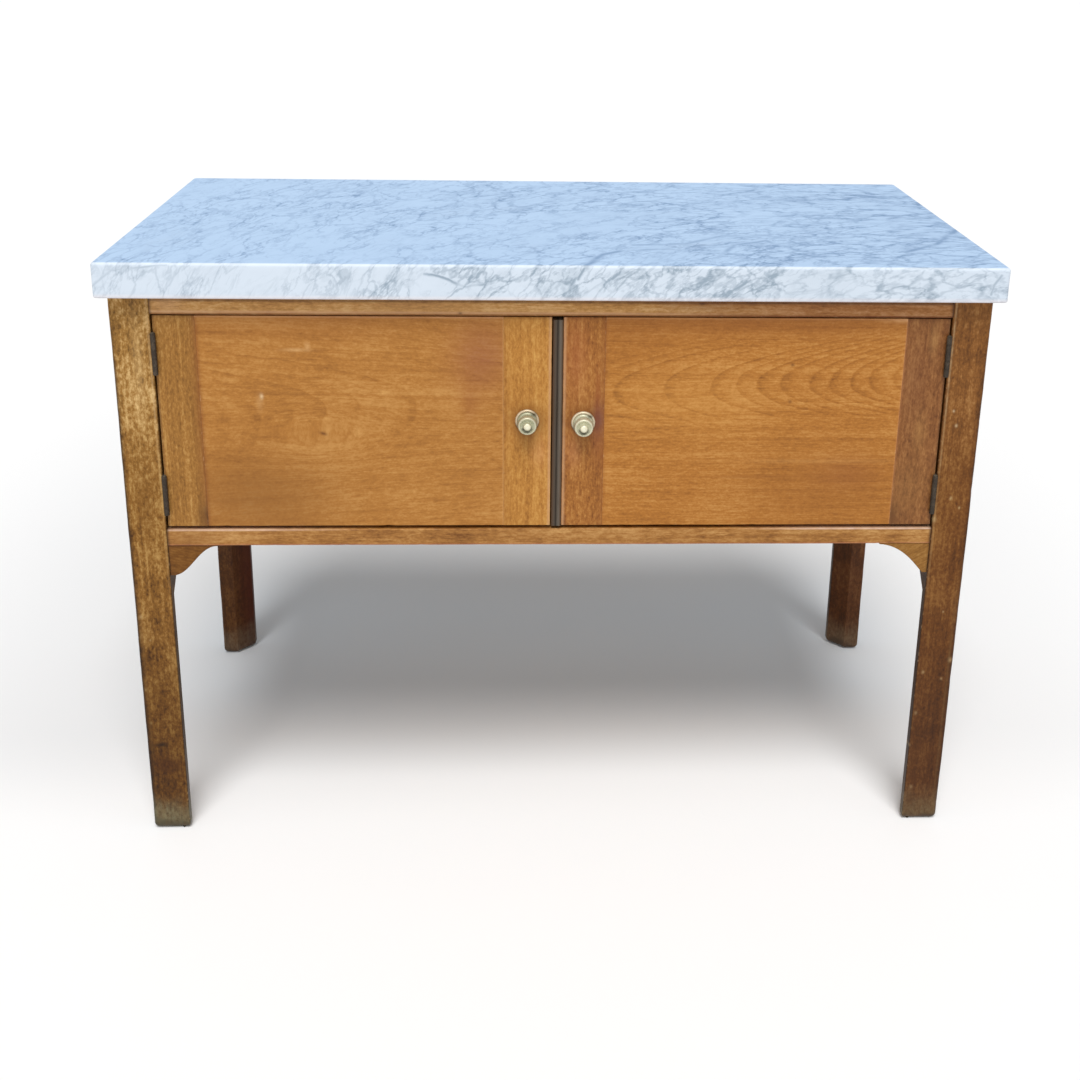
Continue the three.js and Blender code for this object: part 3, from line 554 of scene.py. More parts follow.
def worn_board(name, low, high, along, material, body, replaced, arris, ends, nicks, seed, pitch=2.5,
               chamfer=None):
    """A board with worn edges: its section is carried from end to end. Each long edge's easing swells and
    shrinks along it and has a few nicks, and the section draws in round a quarter circle at both ends.

    Low and high are its corners, arris the easing of the four long edges (one size or four) and ends the
    easing at the two ends, in millimetres. Chamfer, if given, is (corner, width, full, gone): a flat along
    one corner, whole up to full and run out at gone."""
    main, first, second = AXES[along]
    length = high[main] - low[main]
    turn = np.linspace(0, np.pi / 2, EASING_STEPS + 1)
    start, end = (size * (1 - np.cos(turn)) for size in ends)
    middle = np.linspace(start[-1], length - end[-1], max(int(length / pitch), 2) + 1)[1:-1]
    places = np.concatenate([[0.0], start, middle, length - end[::-1], [length]])
    start_inset, end_inset = (size * (1 - np.sin(turn)) for size in ends)
    draw_in = np.concatenate([
        [ends[0] + END_FACE], start_inset, np.zeros(len(middle)), end_inset[::-1], [ends[1] + END_FACE]])
    half_a, half_b = ((high[axis] - low[axis]) / 2 - draw_in for axis in (first, second))
    chance = np.random.default_rng(seed)
    radii, lines = np.zeros((2, 4, len(places)))
    for corner, size in enumerate(np.broadcast_to(arris, 4)):
        radius = size * (1 + 0.25 * ripple(places, seed * 10 + corner, 260))
        for _ in range(nicks):
            at, depth, reach = (chance.uniform(*span) for span in NICK_SPANS)
            radius = radius + min(size, depth) * np.exp(-((places - at * length) / reach) ** 2)
        radii[corner] = np.clip(radius, 0.5 * min(size, 0.5), None)
    if chamfer:
        corner, size, full, gone = chamfer
        widths = size * np.clip((gone - low[main] - places) / (gone - full), 0, 1)
        lines[corner] = np.clip((widths - radii[corner]) / 4.0, 0, 1)
        radii[corner] = np.maximum(radii[corner], widths)
    section = section_rings(half_a, half_b, radii.T, lines.T)
    points = np.zeros(section.shape[:2] + (3,))
    points[..., [first, second]] = section + ((low + high) / 2)[[first, second]]
    points[..., main] = (places + low[main])[:, None]
    mesh_piece(name, points, material, body, replaced)


def eased_slab(name, outline, back, front, easing, material, body, replaced):
    """An outline of (x, z) points carried along Y from back to front, in millimetres. At both faces it
    draws in along its own normals round a quarter circle of the easing's radius."""
    after = np.roll(outline, -1, 0)
    along = after - np.roll(outline, 1, 0)
    normals = np.stack([along[:, 1], -along[:, 0]], -1) / np.linalg.norm(along, axis=1)[:, None]
    normals = normals * np.sign(np.cross(outline, after).sum())
    turn = np.linspace(0, np.pi / 2, SLAB_STEPS + 1)
    inset, depth = easing * (1 - np.sin(turn)), easing * (1 - np.cos(turn))
    insets = np.concatenate([inset, inset[::-1]])
    places = np.concatenate([front + depth, back - depth[::-1]])
    flat = outline[None] - normals[None] * insets[:, None, None]
    points = np.stack([flat[..., 0], np.broadcast_to(places[:, None], flat.shape[:2]), flat[..., 1]], -1)
    mesh_piece(name, points, material, body, replaced)


def reeded_strip(name, low, high, material, body, replaced):
    """A strip with two round reeds on its front, carried up Z. Each reed is half an ellipse over its share
    of the width, the groove between them goes to the groove's share of their height, and the whole front
    wanders a little, as hammered metal does."""
    proud, split, groove, lower_reed, wobble = 2.5, 0.46, 0.55, 0.86, 0.12
    share = np.linspace(0, 1, 25)
    on_left = share < split
    reach = np.where(on_left, share / split, (share - split) / (1 - split)) * 2 - 1
    relief = np.sqrt(np.clip(1 - reach ** 2, 0, 1))
    inner = np.clip(1 - np.abs(share - split) / 0.12, 0, 1) * (1 - groove)
    relief = np.maximum(relief, inner) * np.where(on_left, lower_reed, 1.0)
    z = np.linspace(low[2], high[2], 90)[:, None]
    drift = ripple(z, 5, 90)[:, None] * wobble - wobble * 1.6
    x = np.concatenate([low[0] + (high[0] - low[0]) * share, [high[0], low[0]]]) + 0 * z
    y = np.concatenate([low[1] + proud - relief * (proud + drift), np.full((len(z), 2), high[1])], 1)
    mesh_piece(name, np.stack([x, y, z + 0 * x], -1), material, body, replaced, 50.0)


def slotted_head(name, centre, away, radius, body, material):
    """A countersunk screw's head that faces along X, away being 1 or -1. Its rings sink a little towards the
    middle, and the points within the slot sink by the slot's depth."""
    rings, sides, slot_half, slot_depth, thickness, rim = 6, 24, 0.32, 0.5, 0.5, 0.05
    turn = np.linspace(0, 2 * np.pi, sides, endpoint=False)
    distance = np.concatenate([[radius], radius * np.linspace(0.08, 1, rings)[::-1]])[:, None]
    y, z = distance * np.cos(turn), distance * np.sin(turn)
    tilt = math.radians(sum(map(ord, name)) % 180)
    across = y * math.cos(tilt) + z * math.sin(tilt)
    height = 0.1 * (distance / radius) ** 2 - slot_depth * (np.abs(across) < slot_half)
    height[0], height[1] = -thickness, -rim
    points = np.stack([centre[0] + away * height, centre[1] + y, centre[2] + z], -1)
    mesh_piece(name, points, material, body, sharp=25.0)


def turned(name, corners, centre, material, body, replaced):
    """A profile through [radius, distance, easing] corners, turned about an axis that points at -Y. Centre
    is the place of distance 0. Each corner is eased by a curve that starts and ends at the easing's
    distance from it: (1-t)^2 start + 2t(1-t) corner + t^2 end."""
    corners = np.array(corners, float)
    t = np.linspace(0, 1, EASING_STEPS + 1)[:, None]
    parts = [corners[:1, :2]]
    for before, corner, after in zip(corners[:-2], corners[1:-1], corners[2:]):
        ways = (other[:2] - corner[:2] for other in (before, after))
        start, end = (corner[:2] + way * min(corner[2] / np.linalg.norm(way), 0.49) for way in ways)
        parts.append((1 - t) ** 2 * start + 2 * t * (1 - t) * corner[:2] + t ** 2 * end)
    profile = np.concatenate(parts + [corners[-1:, :2]])
    turn = np.linspace(0, 2 * np.pi, TURNED_SIDES, endpoint=False)
    radius, distance = profile[:, :1], profile[:, 1:]
    points = np.stack([radius * np.cos(turn), -distance + 0 * turn, radius * np.sin(turn)], -1) + centre
    mesh_piece(name, points, material, body, replaced, 30.0)


def box_mm(node):
    """A node's corners in millimetres."""
    low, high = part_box(node)
    return np.array(low) / MM, np.array(high) / MM


# Marble slab

low, high = box_mm("marble_top")
worn_board(
    "marble_slab", low, high, "z", marble_stone(low, high), "carcass", ["marble_top"], arris=4.0,
    ends=(2.2, 3.8), nicks=0, seed=4, pitch=6.0)


# Legs: rounded outer edges, a chamfer on the inner one, and dust and wear at the foot

LEG_ARRIS, OUTER_ARRIS, FOOT_EASING, HEAD_EASING = 1.6, 3.4, 8.0, 0.6
LEG_CHAMFER, CHAMFER_FULL, CHAMFER_GONE = 24.0, 340.0, 364.0
LEG_LOOKS = {
    # The outer corner of the section, dark, middle and pale tones, depth of the mottle, and the tone and
    # strength of the foot's dust
    "left_front": (2, ((79, 47, 12), (164, 119, 57), (229, 192, 131)), 0.32, (119, 117, 91), 0.9),
    # The right front leg's tones are darker than the left one's: painted shade of light falling off to the
    # right
    "right_front": (3, ((66, 34, 10), (136, 87, 39), (192, 143, 85)), 0.21, (106, 92, 66), 0.85),
    "left_back": (1, ((32, 14, 0), (74, 40, 6), (112, 74, 32)), 0.24, (110, 98, 80), 0.7),
    "right_back": (0, ((34, 16, 4), (84, 46, 16), (124, 82, 46)), 0.2, (120, 104, 82), 0.75),
}
LEG_GRIME_AND_SHADE = {
    # The front legs darken downwards, partly grime and partly painted shade: the height it starts at, the
    # one it ends at, and the tone that multiplies the colour there
    "left_front": ((640, 470, (226, 214, 186)), (500, 60, (194, 188, 192)), (360, 120, (229, 221, 186))),
    "right_front": ((640, 470, (214, 203, 178)), (500, 60, (194, 188, 192))),
}
CHIPS = {
    # Places (x, z) and sizes of the pale chips on the front legs
    "left_front": ((-516, 160, 1.6), (-517, 313, 1.8), (-519, 209, 1.5), (-508, 280, 1.2)),
    "right_front": (
        (478, 444, 3.0), (494, 570, 1.6), (489, 589, 1.3), (497, 473, 1.8), (509, 460, 1.4), (519, 244, 2.6),
        (485, 226, 1.8), (510, 216, 1.5), (481, 165, 2.0), (485, 51, 2.2), (503, 314, 1.2), (477, 116, 1.6)),
}
LEFT_LEG_STAINS = [
    (-507, 127, 7, 2.6, (40, 18, 8), 1.0), (-503, 129, 5, 3, (40, 18, 8), 0.9),
    (-499, 97, 20, 12, (112, 60, 26), 0.6), (-494, 640, 6, 60, (226, 192, 134), 0.3),
    (-500, 470, 16, 60, (116, 78, 32), 0.35)]


def leg_lines(place, low, high):
    """Dirt and painted shade in the outer arris, with a pale rubbed line beside it further down, and dark and
    pale lines on the dark inner side.
    """
    side, outer, inner = (1, low[0], high[0]) if place.startswith("left") else (-1, high[0], low[0])
    front = low[1] if place.endswith("front") else high[1]
    strength = 0.95 if place == "left_front" else 0.5
    return [
        # Grime and painted shade along the rounded outer arris
        (0, outer + side * 0.8, 3.2, (46, 28, 12), strength, 0.25, (2, 600, 760), (1, front, 8)),
        (0, outer + side * 6.0, 1.5, (164, 130, 88), 0.5, 0.6, (2, 240, 420), (1, front, 3)),
        (0, inner, 1.0, (54, 38, 25), 0.85, 0.15, (2, 380, 720)),
        (0, inner - side * 2.6, 1.1, (224, 192, 144), 0.45, 0.95, (2, 420, 300))]


for place, (corner, tones, mottle, dust, dust_strength) in LEG_LOOKS.items():
    node = place + "_leg"
    low, high = box_mm(node)
    seed = 21 + 12 * corner
    first_leg = place == "left_front"
    stains_and_shade = [(x, z, size, 1.3 * size, (232, 206, 164), 0.8) for x, z, size in CHIPS.get(place, ())]
    # Painted shade darkens the inner chamfer of the left back leg
    if place == "left_back":
        stains_and_shade += [(high[0], 180, LEG_CHAMFER * 0.8, 600, (72, 20, 8), 0.9)]
    if first_leg:
        stains_and_shade += LEFT_LEG_STAINS
    # Grime and painted shade that darken the front legs downwards
    fades = [(2, start, end, tone, 1.0, "MULTIPLY") for start, end, tone in LEG_GRIME_AND_SHADE.get(place, ())]
    fades += [(2, 64, 8, dust, dust_strength, "MIX"), (2, 14, 2, (38, 31, 22), 0.75, "MIX")]
    material = mahogany(
        node + "_wood", low, high, "z", tones, seed, bands=(0.17 if first_leg else 0.13, 10),
        mottle=(mottle, 7, 4.2), pepper=0.07, streaks=0.07, blotches=(0.2 if first_leg else 0.15, 48),
        stains_and_shade=stains_and_shade, lines=leg_lines(place, low, high), fades=fades, wear=0.4,
        scuffs=0.9 if place.endswith("front") else 0.7)
    arris = [LEG_ARRIS] * 4
    arris[corner] = arris[3 - corner] = OUTER_ARRIS
    worn_board(
        node + "_post", low, high, "z", material, "carcass", [node], arris=arris,
        ends=(FOOT_EASING, HEAD_EASING), nicks=9, seed=seed,
        chamfer=((corner + 2) % 4, LEG_CHAMFER, CHAMFER_FULL, CHAMFER_GONE))


# Front rails

opening_left, opening_right = box_mm("left_front_leg")[1][0], box_mm("right_front_leg")[0][0]
RAIL_GAP = 0.1
RAIL_HIDDEN = 6.5  # of the top rail's height, behind the slab's overhang
NICK_TONE, RUBBED_TONE = (70, 34, 18), (226, 196, 176)


def front_rail(node, tones, seed, look):
    """Look is a function of the rail's corners that returns its lines, stains and fades."""
    low, high = box_mm(node)
    low[0], high[0] = opening_left + RAIL_GAP, opening_right - RAIL_GAP
    lines, stains_and_shade, fades = look(low, high)
    lines += [(0, at, 2.4, (58, 32, 16), 0.95, 0.2) for at in (low[0], high[0])]
    material = mahogany(
        node + "_wood", low, high, "x", tones, seed, bands=(0.13, 8), mottle=(0.24, 13, 3.6), pepper=0.07,
        slope=0.01, blotches=(0.14, 45), stains_and_shade=stains_and_shade, lines=lines, fades=fades, wear=0.35)
    worn_board(
        node + "_bar", low, high, "x", material, "carcass", [node], arris=1.0,
        ends=(0.3, 0.3), nicks=14, seed=seed)


def top_rail_look(low, high):
    """A dark reddish line under the worn lower edge, whose left part is paler, and grime with a painted
    shadow under the slab's overhang.
    """
    lines = [
        (2, low[2] + 3.4, 1.6, (216, 168, 128), 0.75, 0.3, (0, 60, 300)),
        (2, low[2] + 1.0, 1.1, (122, 66, 32), 0.85, 0.2),
        # Grime and a painted shadow where the slab's overhang meets the rail
        (2, high[2] - RAIL_HIDDEN, 2.0, (74, 42, 22), 0.8, 0.3)]
    stains_and_shade = [
        (170, high[2] - RAIL_HIDDEN, 60, 10, (112, 60, 34), 0.45),
        (-180, low[2] + 10, 160, 9, (190, 146, 96), 0.4),
        (low[0] + 22, low[2] + 12, 16, 9, (222, 178, 132), 0.5),
        (173, high[2] - 8, 4, 2, NICK_TONE, 0.8), (-114, low[2] + 3, 2.4, 1.6, NICK_TONE, 0.8)]
    return lines, stains_and_shade, [(0, 60, 320, (216, 198, 200), 1.0, "MULTIPLY")]


def bottom_rail_look(low, high):
    """The upper edge is rubbed pale, most of all at both ends, and the lower one is pinkish."""
    ends = ((0, opening_left + 60, opening_left + 260), (0, opening_right - 120, opening_right - 260))
    lines = [(2, high[2] - 0.8, 1.1, RUBBED_TONE, 0.8, 0.45, end) for end in ends]
    lines += [(2, low[2] + 0.8, 1.2, (184, 116, 88), 0.6, 0.5)]
    return lines, [(opening_left + 30, low[2] + 8, 30, 12, (150, 104, 56), 0.5)], []


front_rail("top_front_rail", ((122, 76, 34), (196, 144, 80), (240, 200, 142)), 61, top_rail_look)
front_rail("bottom_front_rail", ((98, 54, 20), (166, 114, 57), (210, 163, 102)), 67, bottom_rail_look)


# Brackets under the bottom rail, each bounded by a cubic curve from its tip beside the leg to its end

BRACKET_TIP, BRACKET_END_SHARE, BRACKET_EASING = 6.0, 0.04, 0.9
BRACKETS = {
    # Side, two control points as shares of width and drop, tones, slope of the grain, seed and the
    # strength of the shadow under the rail
    "left": (
        -1, ((0.42, 0.93), (0.60, -0.06)), ((54, 30, 4), (112, 69, 20), (156, 108, 50)), 0.15, 107, 0.7),
    "right": (
        1, ((0.22, 0.83), (0.50, 0.08)), ((86, 50, 16), (145, 100, 44), (192, 148, 86)), -0.5, 109, 0.1),
}

for side_name, (side, shares, tones, slope, seed, shadow) in BRACKETS.items():
    node = side_name + "_bracket"
    low, high = box_mm(node)
    size = np.array([high[0] - low[0], high[2] - low[2]])
    t = np.linspace(0, 1, 40)[:, None]
    first, second = (pair * size for pair in np.array(shares))
    curve = (
        (1 - t) ** 3 * (BRACKET_TIP, size[1]) + 3 * t * (1 - t) ** 2 * first + 3 * t ** 2 * (1 - t) * second
        + t ** 3 * (size * (1, BRACKET_END_SHARE)))
    leg_x, top = (low[0] if side < 0 else high[0]), high[2]
    curve = np.array([leg_x, top]) - curve * (side, 1)
    end_x = curve[-1, 0]
    outline = np.concatenate([
        [[leg_x, top], [leg_x, (low[2] + top) / 2], [leg_x, low[2]]], curve,
        [[end_x, top], [(end_x + leg_x) / 2, top]]])
    material = mahogany(
        node + "_wood", low, high, "x", tones, seed, slope=slope, bands=(0.11, 8), mottle=(0.16, 10, 3),
        pepper=0.07, wear=0.0, scuffs=0.4,
        lines=[(2, top, 1.6, (78, 40, 18), shadow, 0.3), (0, leg_x, 1.6, (70, 40, 18), 0.8, 0.4)])
    eased_slab(
        node + "_slab", outline, high[1], low[1], BRACKET_EASING, material, "carcass",
        [node])


# Doors

DOORS = {
    # Tones and seed of each part
    "left": {
        "board": (((114, 65, 24), (178, 120, 55), (220, 168, 99)), 71),
        "hinge_clamp": (((92, 54, 16), (166, 116, 54), (216, 172, 104)), 73),
        "meeting_clamp": (((120, 68, 20), (186, 128, 58), (224, 174, 96)), 79)},
    "right": {
        "board": (((112, 62, 22), (178, 116, 49), (220, 165, 94)), 83),
        "hinge_clamp": (((81, 42, 20), (136, 87, 47), (179, 127, 75)), 89),
        "meeting_clamp": (((99, 50, 20), (165, 106, 48), (207, 152, 83)), 97)},
}
CLAMP_TONGUE, JOINT_EASING, DOOR_EASING, CLAMP_EASING = 9.0, 0.12, 0.7, 0.5
JOINTS = {
    # Width, tone and strength of the lines where a board meets its clamps: the left one, then the right one
    "left": ((3.2, (132, 74, 34), 0.6), (1.2, (214, 158, 96), 0.5)),
    "right": ((2.6, (146, 84, 40), 0.4), (1.2, (206, 142, 96), 0.4)),
}


def board_look(side, low, high):
    """Each board's figure: arches that open to the right on one, to the left on the other, with a knot."""
    lines = [(0, end, *joint, 0.3) for end, joint in zip((low[0], high[0]), JOINTS[side])]
    lines += [(2, high[2] - 1.0, 1.2, (222, 170, 128), 0.5 if side == "left" else 0.3, 0.6)]

    def up(share):
        return low[2] + share * (high[2] - low[2])

    def at(across, upwards):
        return low[0] + across * (high[0] - low[0]), up(upwards)

    if side == "right":
        arches = {
            "start": low[0], "way": 1.0, "middle": up(0.652), "lean": 0.05, "spread": (50, 33), "depth": 0.28,
            "tips": ((-72, 0.6), (-30, 0.7), (13, 0.9), (45, 0.15), (72, 0.8), (102, 0.15), (129, 1.0),
                     (160, 0.7), (187, 1.0), (216, 0.7), (251, 0.85), (274, 0.8), (299, 0.9), (321, 0.8),
                     (351, 0.6)),
            "lost": (72.0, 80.0)}
        stains_and_shade = [(*at(*pin), 2.2, 2.2, (92, 48, 24), 0.85) for pin in ((0.625, 0.783), (0.624, 0.607))] + [
            (335, up(0.16), 120, 56, (132, 80, 36), 0.3), (364, up(0.26), 44, 22, (140, 80, 48), 0.34),
            (low[0] + 260, up(0.318), 110, 3, (216, 158, 88), 0.4),
            (low[0] + 195, up(0.24), 60, 2, (138, 84, 38), 0.45),
            (250, high[2], 260, 22, (142, 80, 44), 0.45),
            (low[0] + 20, high[2] - 20, 60, 46, (138, 80, 32), 0.26),
            (430, high[2] - 2, 26, 3, (232, 180, 130), 0.7), (150, up(0.6), 110, 44, (208, 148, 72), 0.36)]
        return {"arches": arches, "stains_and_shade": stains_and_shade, "waviness": 1.6, "bands": (0.1, 9), "lines": lines,
                "mottle": (0.15, 9, 3.4), "pepper": 0.07, "streaks": 0.08}
    spread_line = up(0.523)
    arches = {
        "start": high[0], "way": -1.0, "middle": spread_line + 19, "lean": -0.086, "spread": (36, 34),
        "tips": ((-150, 0.5), (-80, 0.8), (-40, 0.3), (-5, 0.5), (40, 0.3), (75, 0.4), (105, 1.0),
                 (140, 0.35), (173, 0.7), (215, 1.0), (255, 0.5), (292, 0.6), (330, 0.5)),
        "lost": (34.0, 110.0), "depth": 0.16}
    stains_and_shade = [
        (high[0] - 26, up(0.82), 36, 44, (138, 76, 62), 0.6), (-365, up(0.14), 100, 56, (124, 80, 38), 0.56),
        (-300, high[2], 150, 26, (150, 88, 44), 0.4), (high[0] - 40, up(0.6), 10, 26, (150, 86, 48), 0.4),
        (*at(0.32, 0.845), 16, 2.2, (222, 176, 118), 0.6), (*at(0.36, 0.86), 3, 5, (222, 176, 118), 0.5),
        (*at(0.202, 0.627), 2, 3.4, (240, 212, 168), 0.9), (*at(0.195, 0.6), 4, 10, (206, 160, 104), 0.5)]
    return {"arches": arches, "stains_and_shade": stains_and_shade, "lines": lines, "waviness": 2.6, "fan": (spread_line, 0.0005),
            "knots": [(*at(0.4, 0.452), 10.0)], "bands": (0.09, 8), "mottle": (0.14, 10, 3.6), "scuffs": 0.9}


def clamp_look(side, part, low, high):
    """Uprights of the doors. Their inner joints are dark, a painted shadow runs along the top under the rail,
    and the meeting edges are rubbed pale, with a painted highlight.
    """
    meeting, left = part == "meeting_clamp", side == "left"
    outer, inner, inwards = (high[0], low[0], -1) if left == meeting else (low[0], high[0], 1)
    joint = JOINTS[side][int(left == meeting)]

    def up(share):
        return low[2] + share * (high[2] - low[2])

    # The dark joint, a softer darker band beside it, and a painted shadow along the top under the rail
    lines = [
        (0, inner, *joint, 0.3), (0, inner, 8.0, (132, 80, 38), 0.25, 0.6),
        (2, high[2], 2.4, (92, 50, 24), 0.5, 0.4)]
    if meeting:
        # Rubbed pale, with a painted highlight along the rounded meeting edge
        lines += [(0, outer + inwards * 1.8, 1.8, (206, 160, 118), 0.7, 0.35)]
        knob_x = inner + 0.5 * (outer - inner)
        stains_and_shade = [
            (outer + inwards * 14, up(0.36), 9, 20, (206, 138, 96), 0.35),
            # Grime and a painted contact shadow round the knob's rose
            (knob_x, up(0.51), 21, 24, (128, 72, 40), 0.4), (knob_x, up(0.505), 16, 17, (76, 42, 18), 0.9)]
        more = () if left else (
            (inner - 7, up(0.52), 7, 22, (104, 60, 66), 0.8),
            (inner - 8, up(0.66), 4, 30, (140, 70, 34), 0.6),
            (inner - 8, up(0.4), 8, 26, (136, 76, 44), 0.5),
            (outer + 16, up(0.82), 14, 52, (154, 82, 50), 0.55))
    else:
        lines += [(0, outer + inwards * 1.2, 1.2, (66, 40, 26), 0.55, 0.5)]
        stains_and_shade = [(inner, up(0.05), 11, 18, (70, 42, 22), 0.85)]
        more = ((inner - 5, up(0.5), 4, 110, (140, 88, 40), 0.4),) if left else (
            (456, up(0.9), 5, 18, (188, 140, 84), 0.6), (449, up(0.46), 8, 24, (178, 130, 74), 0.5),
            (440, up(0.18), 26, 40, (170, 122, 68), 0.4), (436, up(0.72), 18, 50, (104, 60, 40), 0.35))
    return {"stains_and_shade": [*stains_and_shade, *more], "lines": lines, "bands": (0.13, 8),
            "mottle": (0.2 if left else 0.27, 8, 3.4), "pepper": 0.07}


for side, boards in DOORS.items():
    for part, (tones, seed) in boards.items():
        node = f"{side}_door_{part}"
        low, high = box_mm(node)
        if part == "board":
            low[0], high[0] = low[0] + CLAMP_TONGUE, high[0] - CLAMP_TONGUE
            look, along, slot = board_look(side, low, high), "x", "board_mahogany"
            arris, ends = DOOR_EASING, (JOINT_EASING, JOINT_EASING)
        else:
            look, along, slot = clamp_look(side, part, low, high), "z", "clamp_mahogany"
            ends = CLAMP_EASING, CLAMP_EASING
            arris = [JOINT_EASING, DOOR_EASING, DOOR_EASING, JOINT_EASING]
            if (side == "left") != (part == "hinge_clamp"):
                arris = arris[2:] + arris[:2]
        material = mahogany(node + "_wood", low, high, along, tones, seed, wear=0.25, **look)
        worn_board(
            node + "_wood_piece", low, high, along, material, side + "_door", [node], arris=arris,
            ends=ends, nicks=6, seed=seed)


# Meeting strip between the doors

# Patina, with painted shade at both edges, darker in the groove, and a painted highlight on the right reed
STRIP_PATINA_AND_SHADING = (
    (0.0, (84, 56, 32)), (0.12, (76, 56, 38)), (0.3, (76, 64, 51)), (0.42, (60, 49, 38)),
    (0.47, (46, 37, 29)), (0.56, (78, 68, 56)), (0.74, (99, 89, 77)), (0.9, (88, 68, 48)),
    (1.0, (62, 42, 26)))
low, high = box_mm("meeting_strip")
reeded_strip(
    "meeting_strip_reeds", low, high, reeded_metal("strip_patina_and_painted_light", low[0], high[0], STRIP_PATINA_AND_SHADING, 9.0),
    "right_door", ["meeting_strip"])


# Knobs: a rose with a thick rim, and a dished knob with a button in its middle

ROSE_TONES = (
    (0.0, (90, 86, 62)), (5.5, (120, 116, 88)), (8.0, (188, 186, 154)), (10.0, (166, 164, 134)),
    (11.4, (164, 158, 128)), (12.4, (214, 198, 168)), (14.0, (208, 186, 154)), (15.0, (120, 96, 62)))
# The button is palest: rubbed brass with a painted highlight
KNOB_TONES = (
    (0.0, (244, 240, 214)), (3.6, (232, 226, 194)), (4.8, (180, 178, 148)), (6.0, (186, 186, 158)),
    (7.4, (206, 206, 178)), (9.2, (206, 204, 174)), (10.4, (198, 190, 162)), (11.6, (158, 156, 126)))
# A painted shadow round the lower side of the button
KNOB_BUTTON_SHADOW = ((0, -6.4, 4.0, 2.2, 1.0), (-4.6, -4.2, 2.4, 2.4, 0.85), (4.7, -4.0, 2.2, 2.2, 0.7))
ROSE_DIRT = ((8.2, 8.4, 3.4, 2.6, 0.8), (-11.5, -7.0, 3.0, 6.0, 0.7), (11.5, -7.0, 3.0, 6.0, 0.7))
BRASS_LOOKS = {"left": (5.0, 0.02), "right": (12.0, 0.25)}  # seed, and how far the colour is mixed towards pale brass


def rose_profile(radius, thickness):
    """[distance from the axis, height over the door, easing], from the bore out over the rim to the back."""
    return [
        [4.9, 0.1, 0], [4.9, 2.0, 0.4], [7.0, thickness, 1.0], [9.4, thickness - 0.2, 0.9],
        [10.6, 2.2, 0.7], [11.6, 2.2, 0.5], [12.6, thickness - 0.4, 1.1], [14.0, thickness - 0.8, 1.1],
        [radius, 1.3, 0.8], [radius - 0.3, 0.1, 0.1], [5.2, 0.1, 0]]


def knob_profile(radius, front):
    """The same of the knob in front of its rose."""
    return [
        [0.02, -1.0, 0], [2.5, -1.0, 0], [2.5, 0.2, 0], [4.5, 0.2, 0], [4.5, 7.0, 1.5], [8.2, 8.6, 1.6],
        [radius, 12.4, 1.8], [radius, 20.2, 2.0], [radius - 1.8, 22.0, 1.2], [7.6, 19.8, 1.4],
        [5.6, 19.0, 0.5], [4.9, 20.2, 0.6], [4.9, 23.6, 0.8], [3.6, front - 0.2, 1.4], [0.02, front, 0]]


for side, (seed, pale_share) in BRASS_LOOKS.items():
    door_face = box_mm(side + "_door_meeting_clamp")[0][1]
    low, high = box_mm(side + "_knob_rose")
    centre = (low + high) / 2
    centre[1] = door_face
    for node, name, profile, tones, dark_spots, part_seed in (
            ("knob_rose", "rose", rose_profile, ROSE_TONES, ROSE_DIRT, seed),
            ("knob", "knob", knob_profile, KNOB_TONES, KNOB_BUTTON_SHADOW, seed + 1)):
        low, high = box_mm(f"{side}_{node}")
        brass = aged_brass(f"{side}_{name}_brass", centre[::2], tones, dark_spots, pale_share, part_seed)
        turned(
            f"{side}_{name}_turned", profile((high[0] - low[0]) / 2, door_face - low[1]), centre, brass,
            side + "_door", [f"{side}_{node}"])


# Inner wood and the parts that stay as they are

INNER = ((104, 74, 44), (150, 114, 72), (186, 150, 104))
SIDES = ((92, 56, 28), (150, 100, 56), (190, 144, 92))
INNER_PIECES = {
    "y": ["cupboard_floor_front", "left_floor_batten", "right_floor_batten", "left_top_bearer",
          "right_top_bearer", "middle_top_bearer"],
    "x": ["cupboard_floor_back", "back_board_1", "back_board_2", "back_board_3", "top_back_rail",
          "bottom_back_rail", "door_stop", "left_glue_block", "middle_glue_block", "right_glue_block"],
}


def repaint(node, material):
    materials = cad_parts[node].data.materials
    materials.clear()
    materials.append(material)


for along, names in INNER_PIECES.items():
    for index, node in enumerate(names):
        repaint(node, pine(node + "_pine", along, INNER, 3.7 * index + 5))

for index, node in enumerate(("left_side_board", "right_side_board")):
    repaint(node, mahogany(
        node + "_wood", *box_mm(node), "y", SIDES, 101 + index, bands=(0.14, 18), mottle=(0.1, 12, 3),
        blotches=(0.12, 120), wear=0.2))


# Hinges with their screws

SCREWS, SCREW_INSET, SCREW_RADIUS, LEAF_THICKNESS, SEAT_GAP, LEAF_GAP = 3, 9.0, 1.9, 1.5, 0.1, 0.4
steel = dark_steel("tarnished_steel", ((20, 15, 10), (54, 44, 33), (112, 98, 82)), 7.0)
pin_steel = dark_steel("rubbed_steel", ((40, 34, 27), (80, 71, 58), (140, 130, 114)), 17.0)
screw_steel = dark_steel("screw_steel", ((44, 38, 30), (104, 94, 80), (168, 158, 140)), 27.0)


def screw_row(node, face_x, away, body):
    """Three screw heads down a hinge leaf, flush with the face at face_x that looks along away."""
    low, high = box_mm(node)
    for index in range(SCREWS):
        z = low[2] + (index + 0.5) * (high[2] - low[2]) / SCREWS
        slotted_head(
            f"{node}_screw_{index + 1}", (face_x, high[1] - SCREW_INSET, z), away, SCREW_RADIUS, body,
            screw_steel)


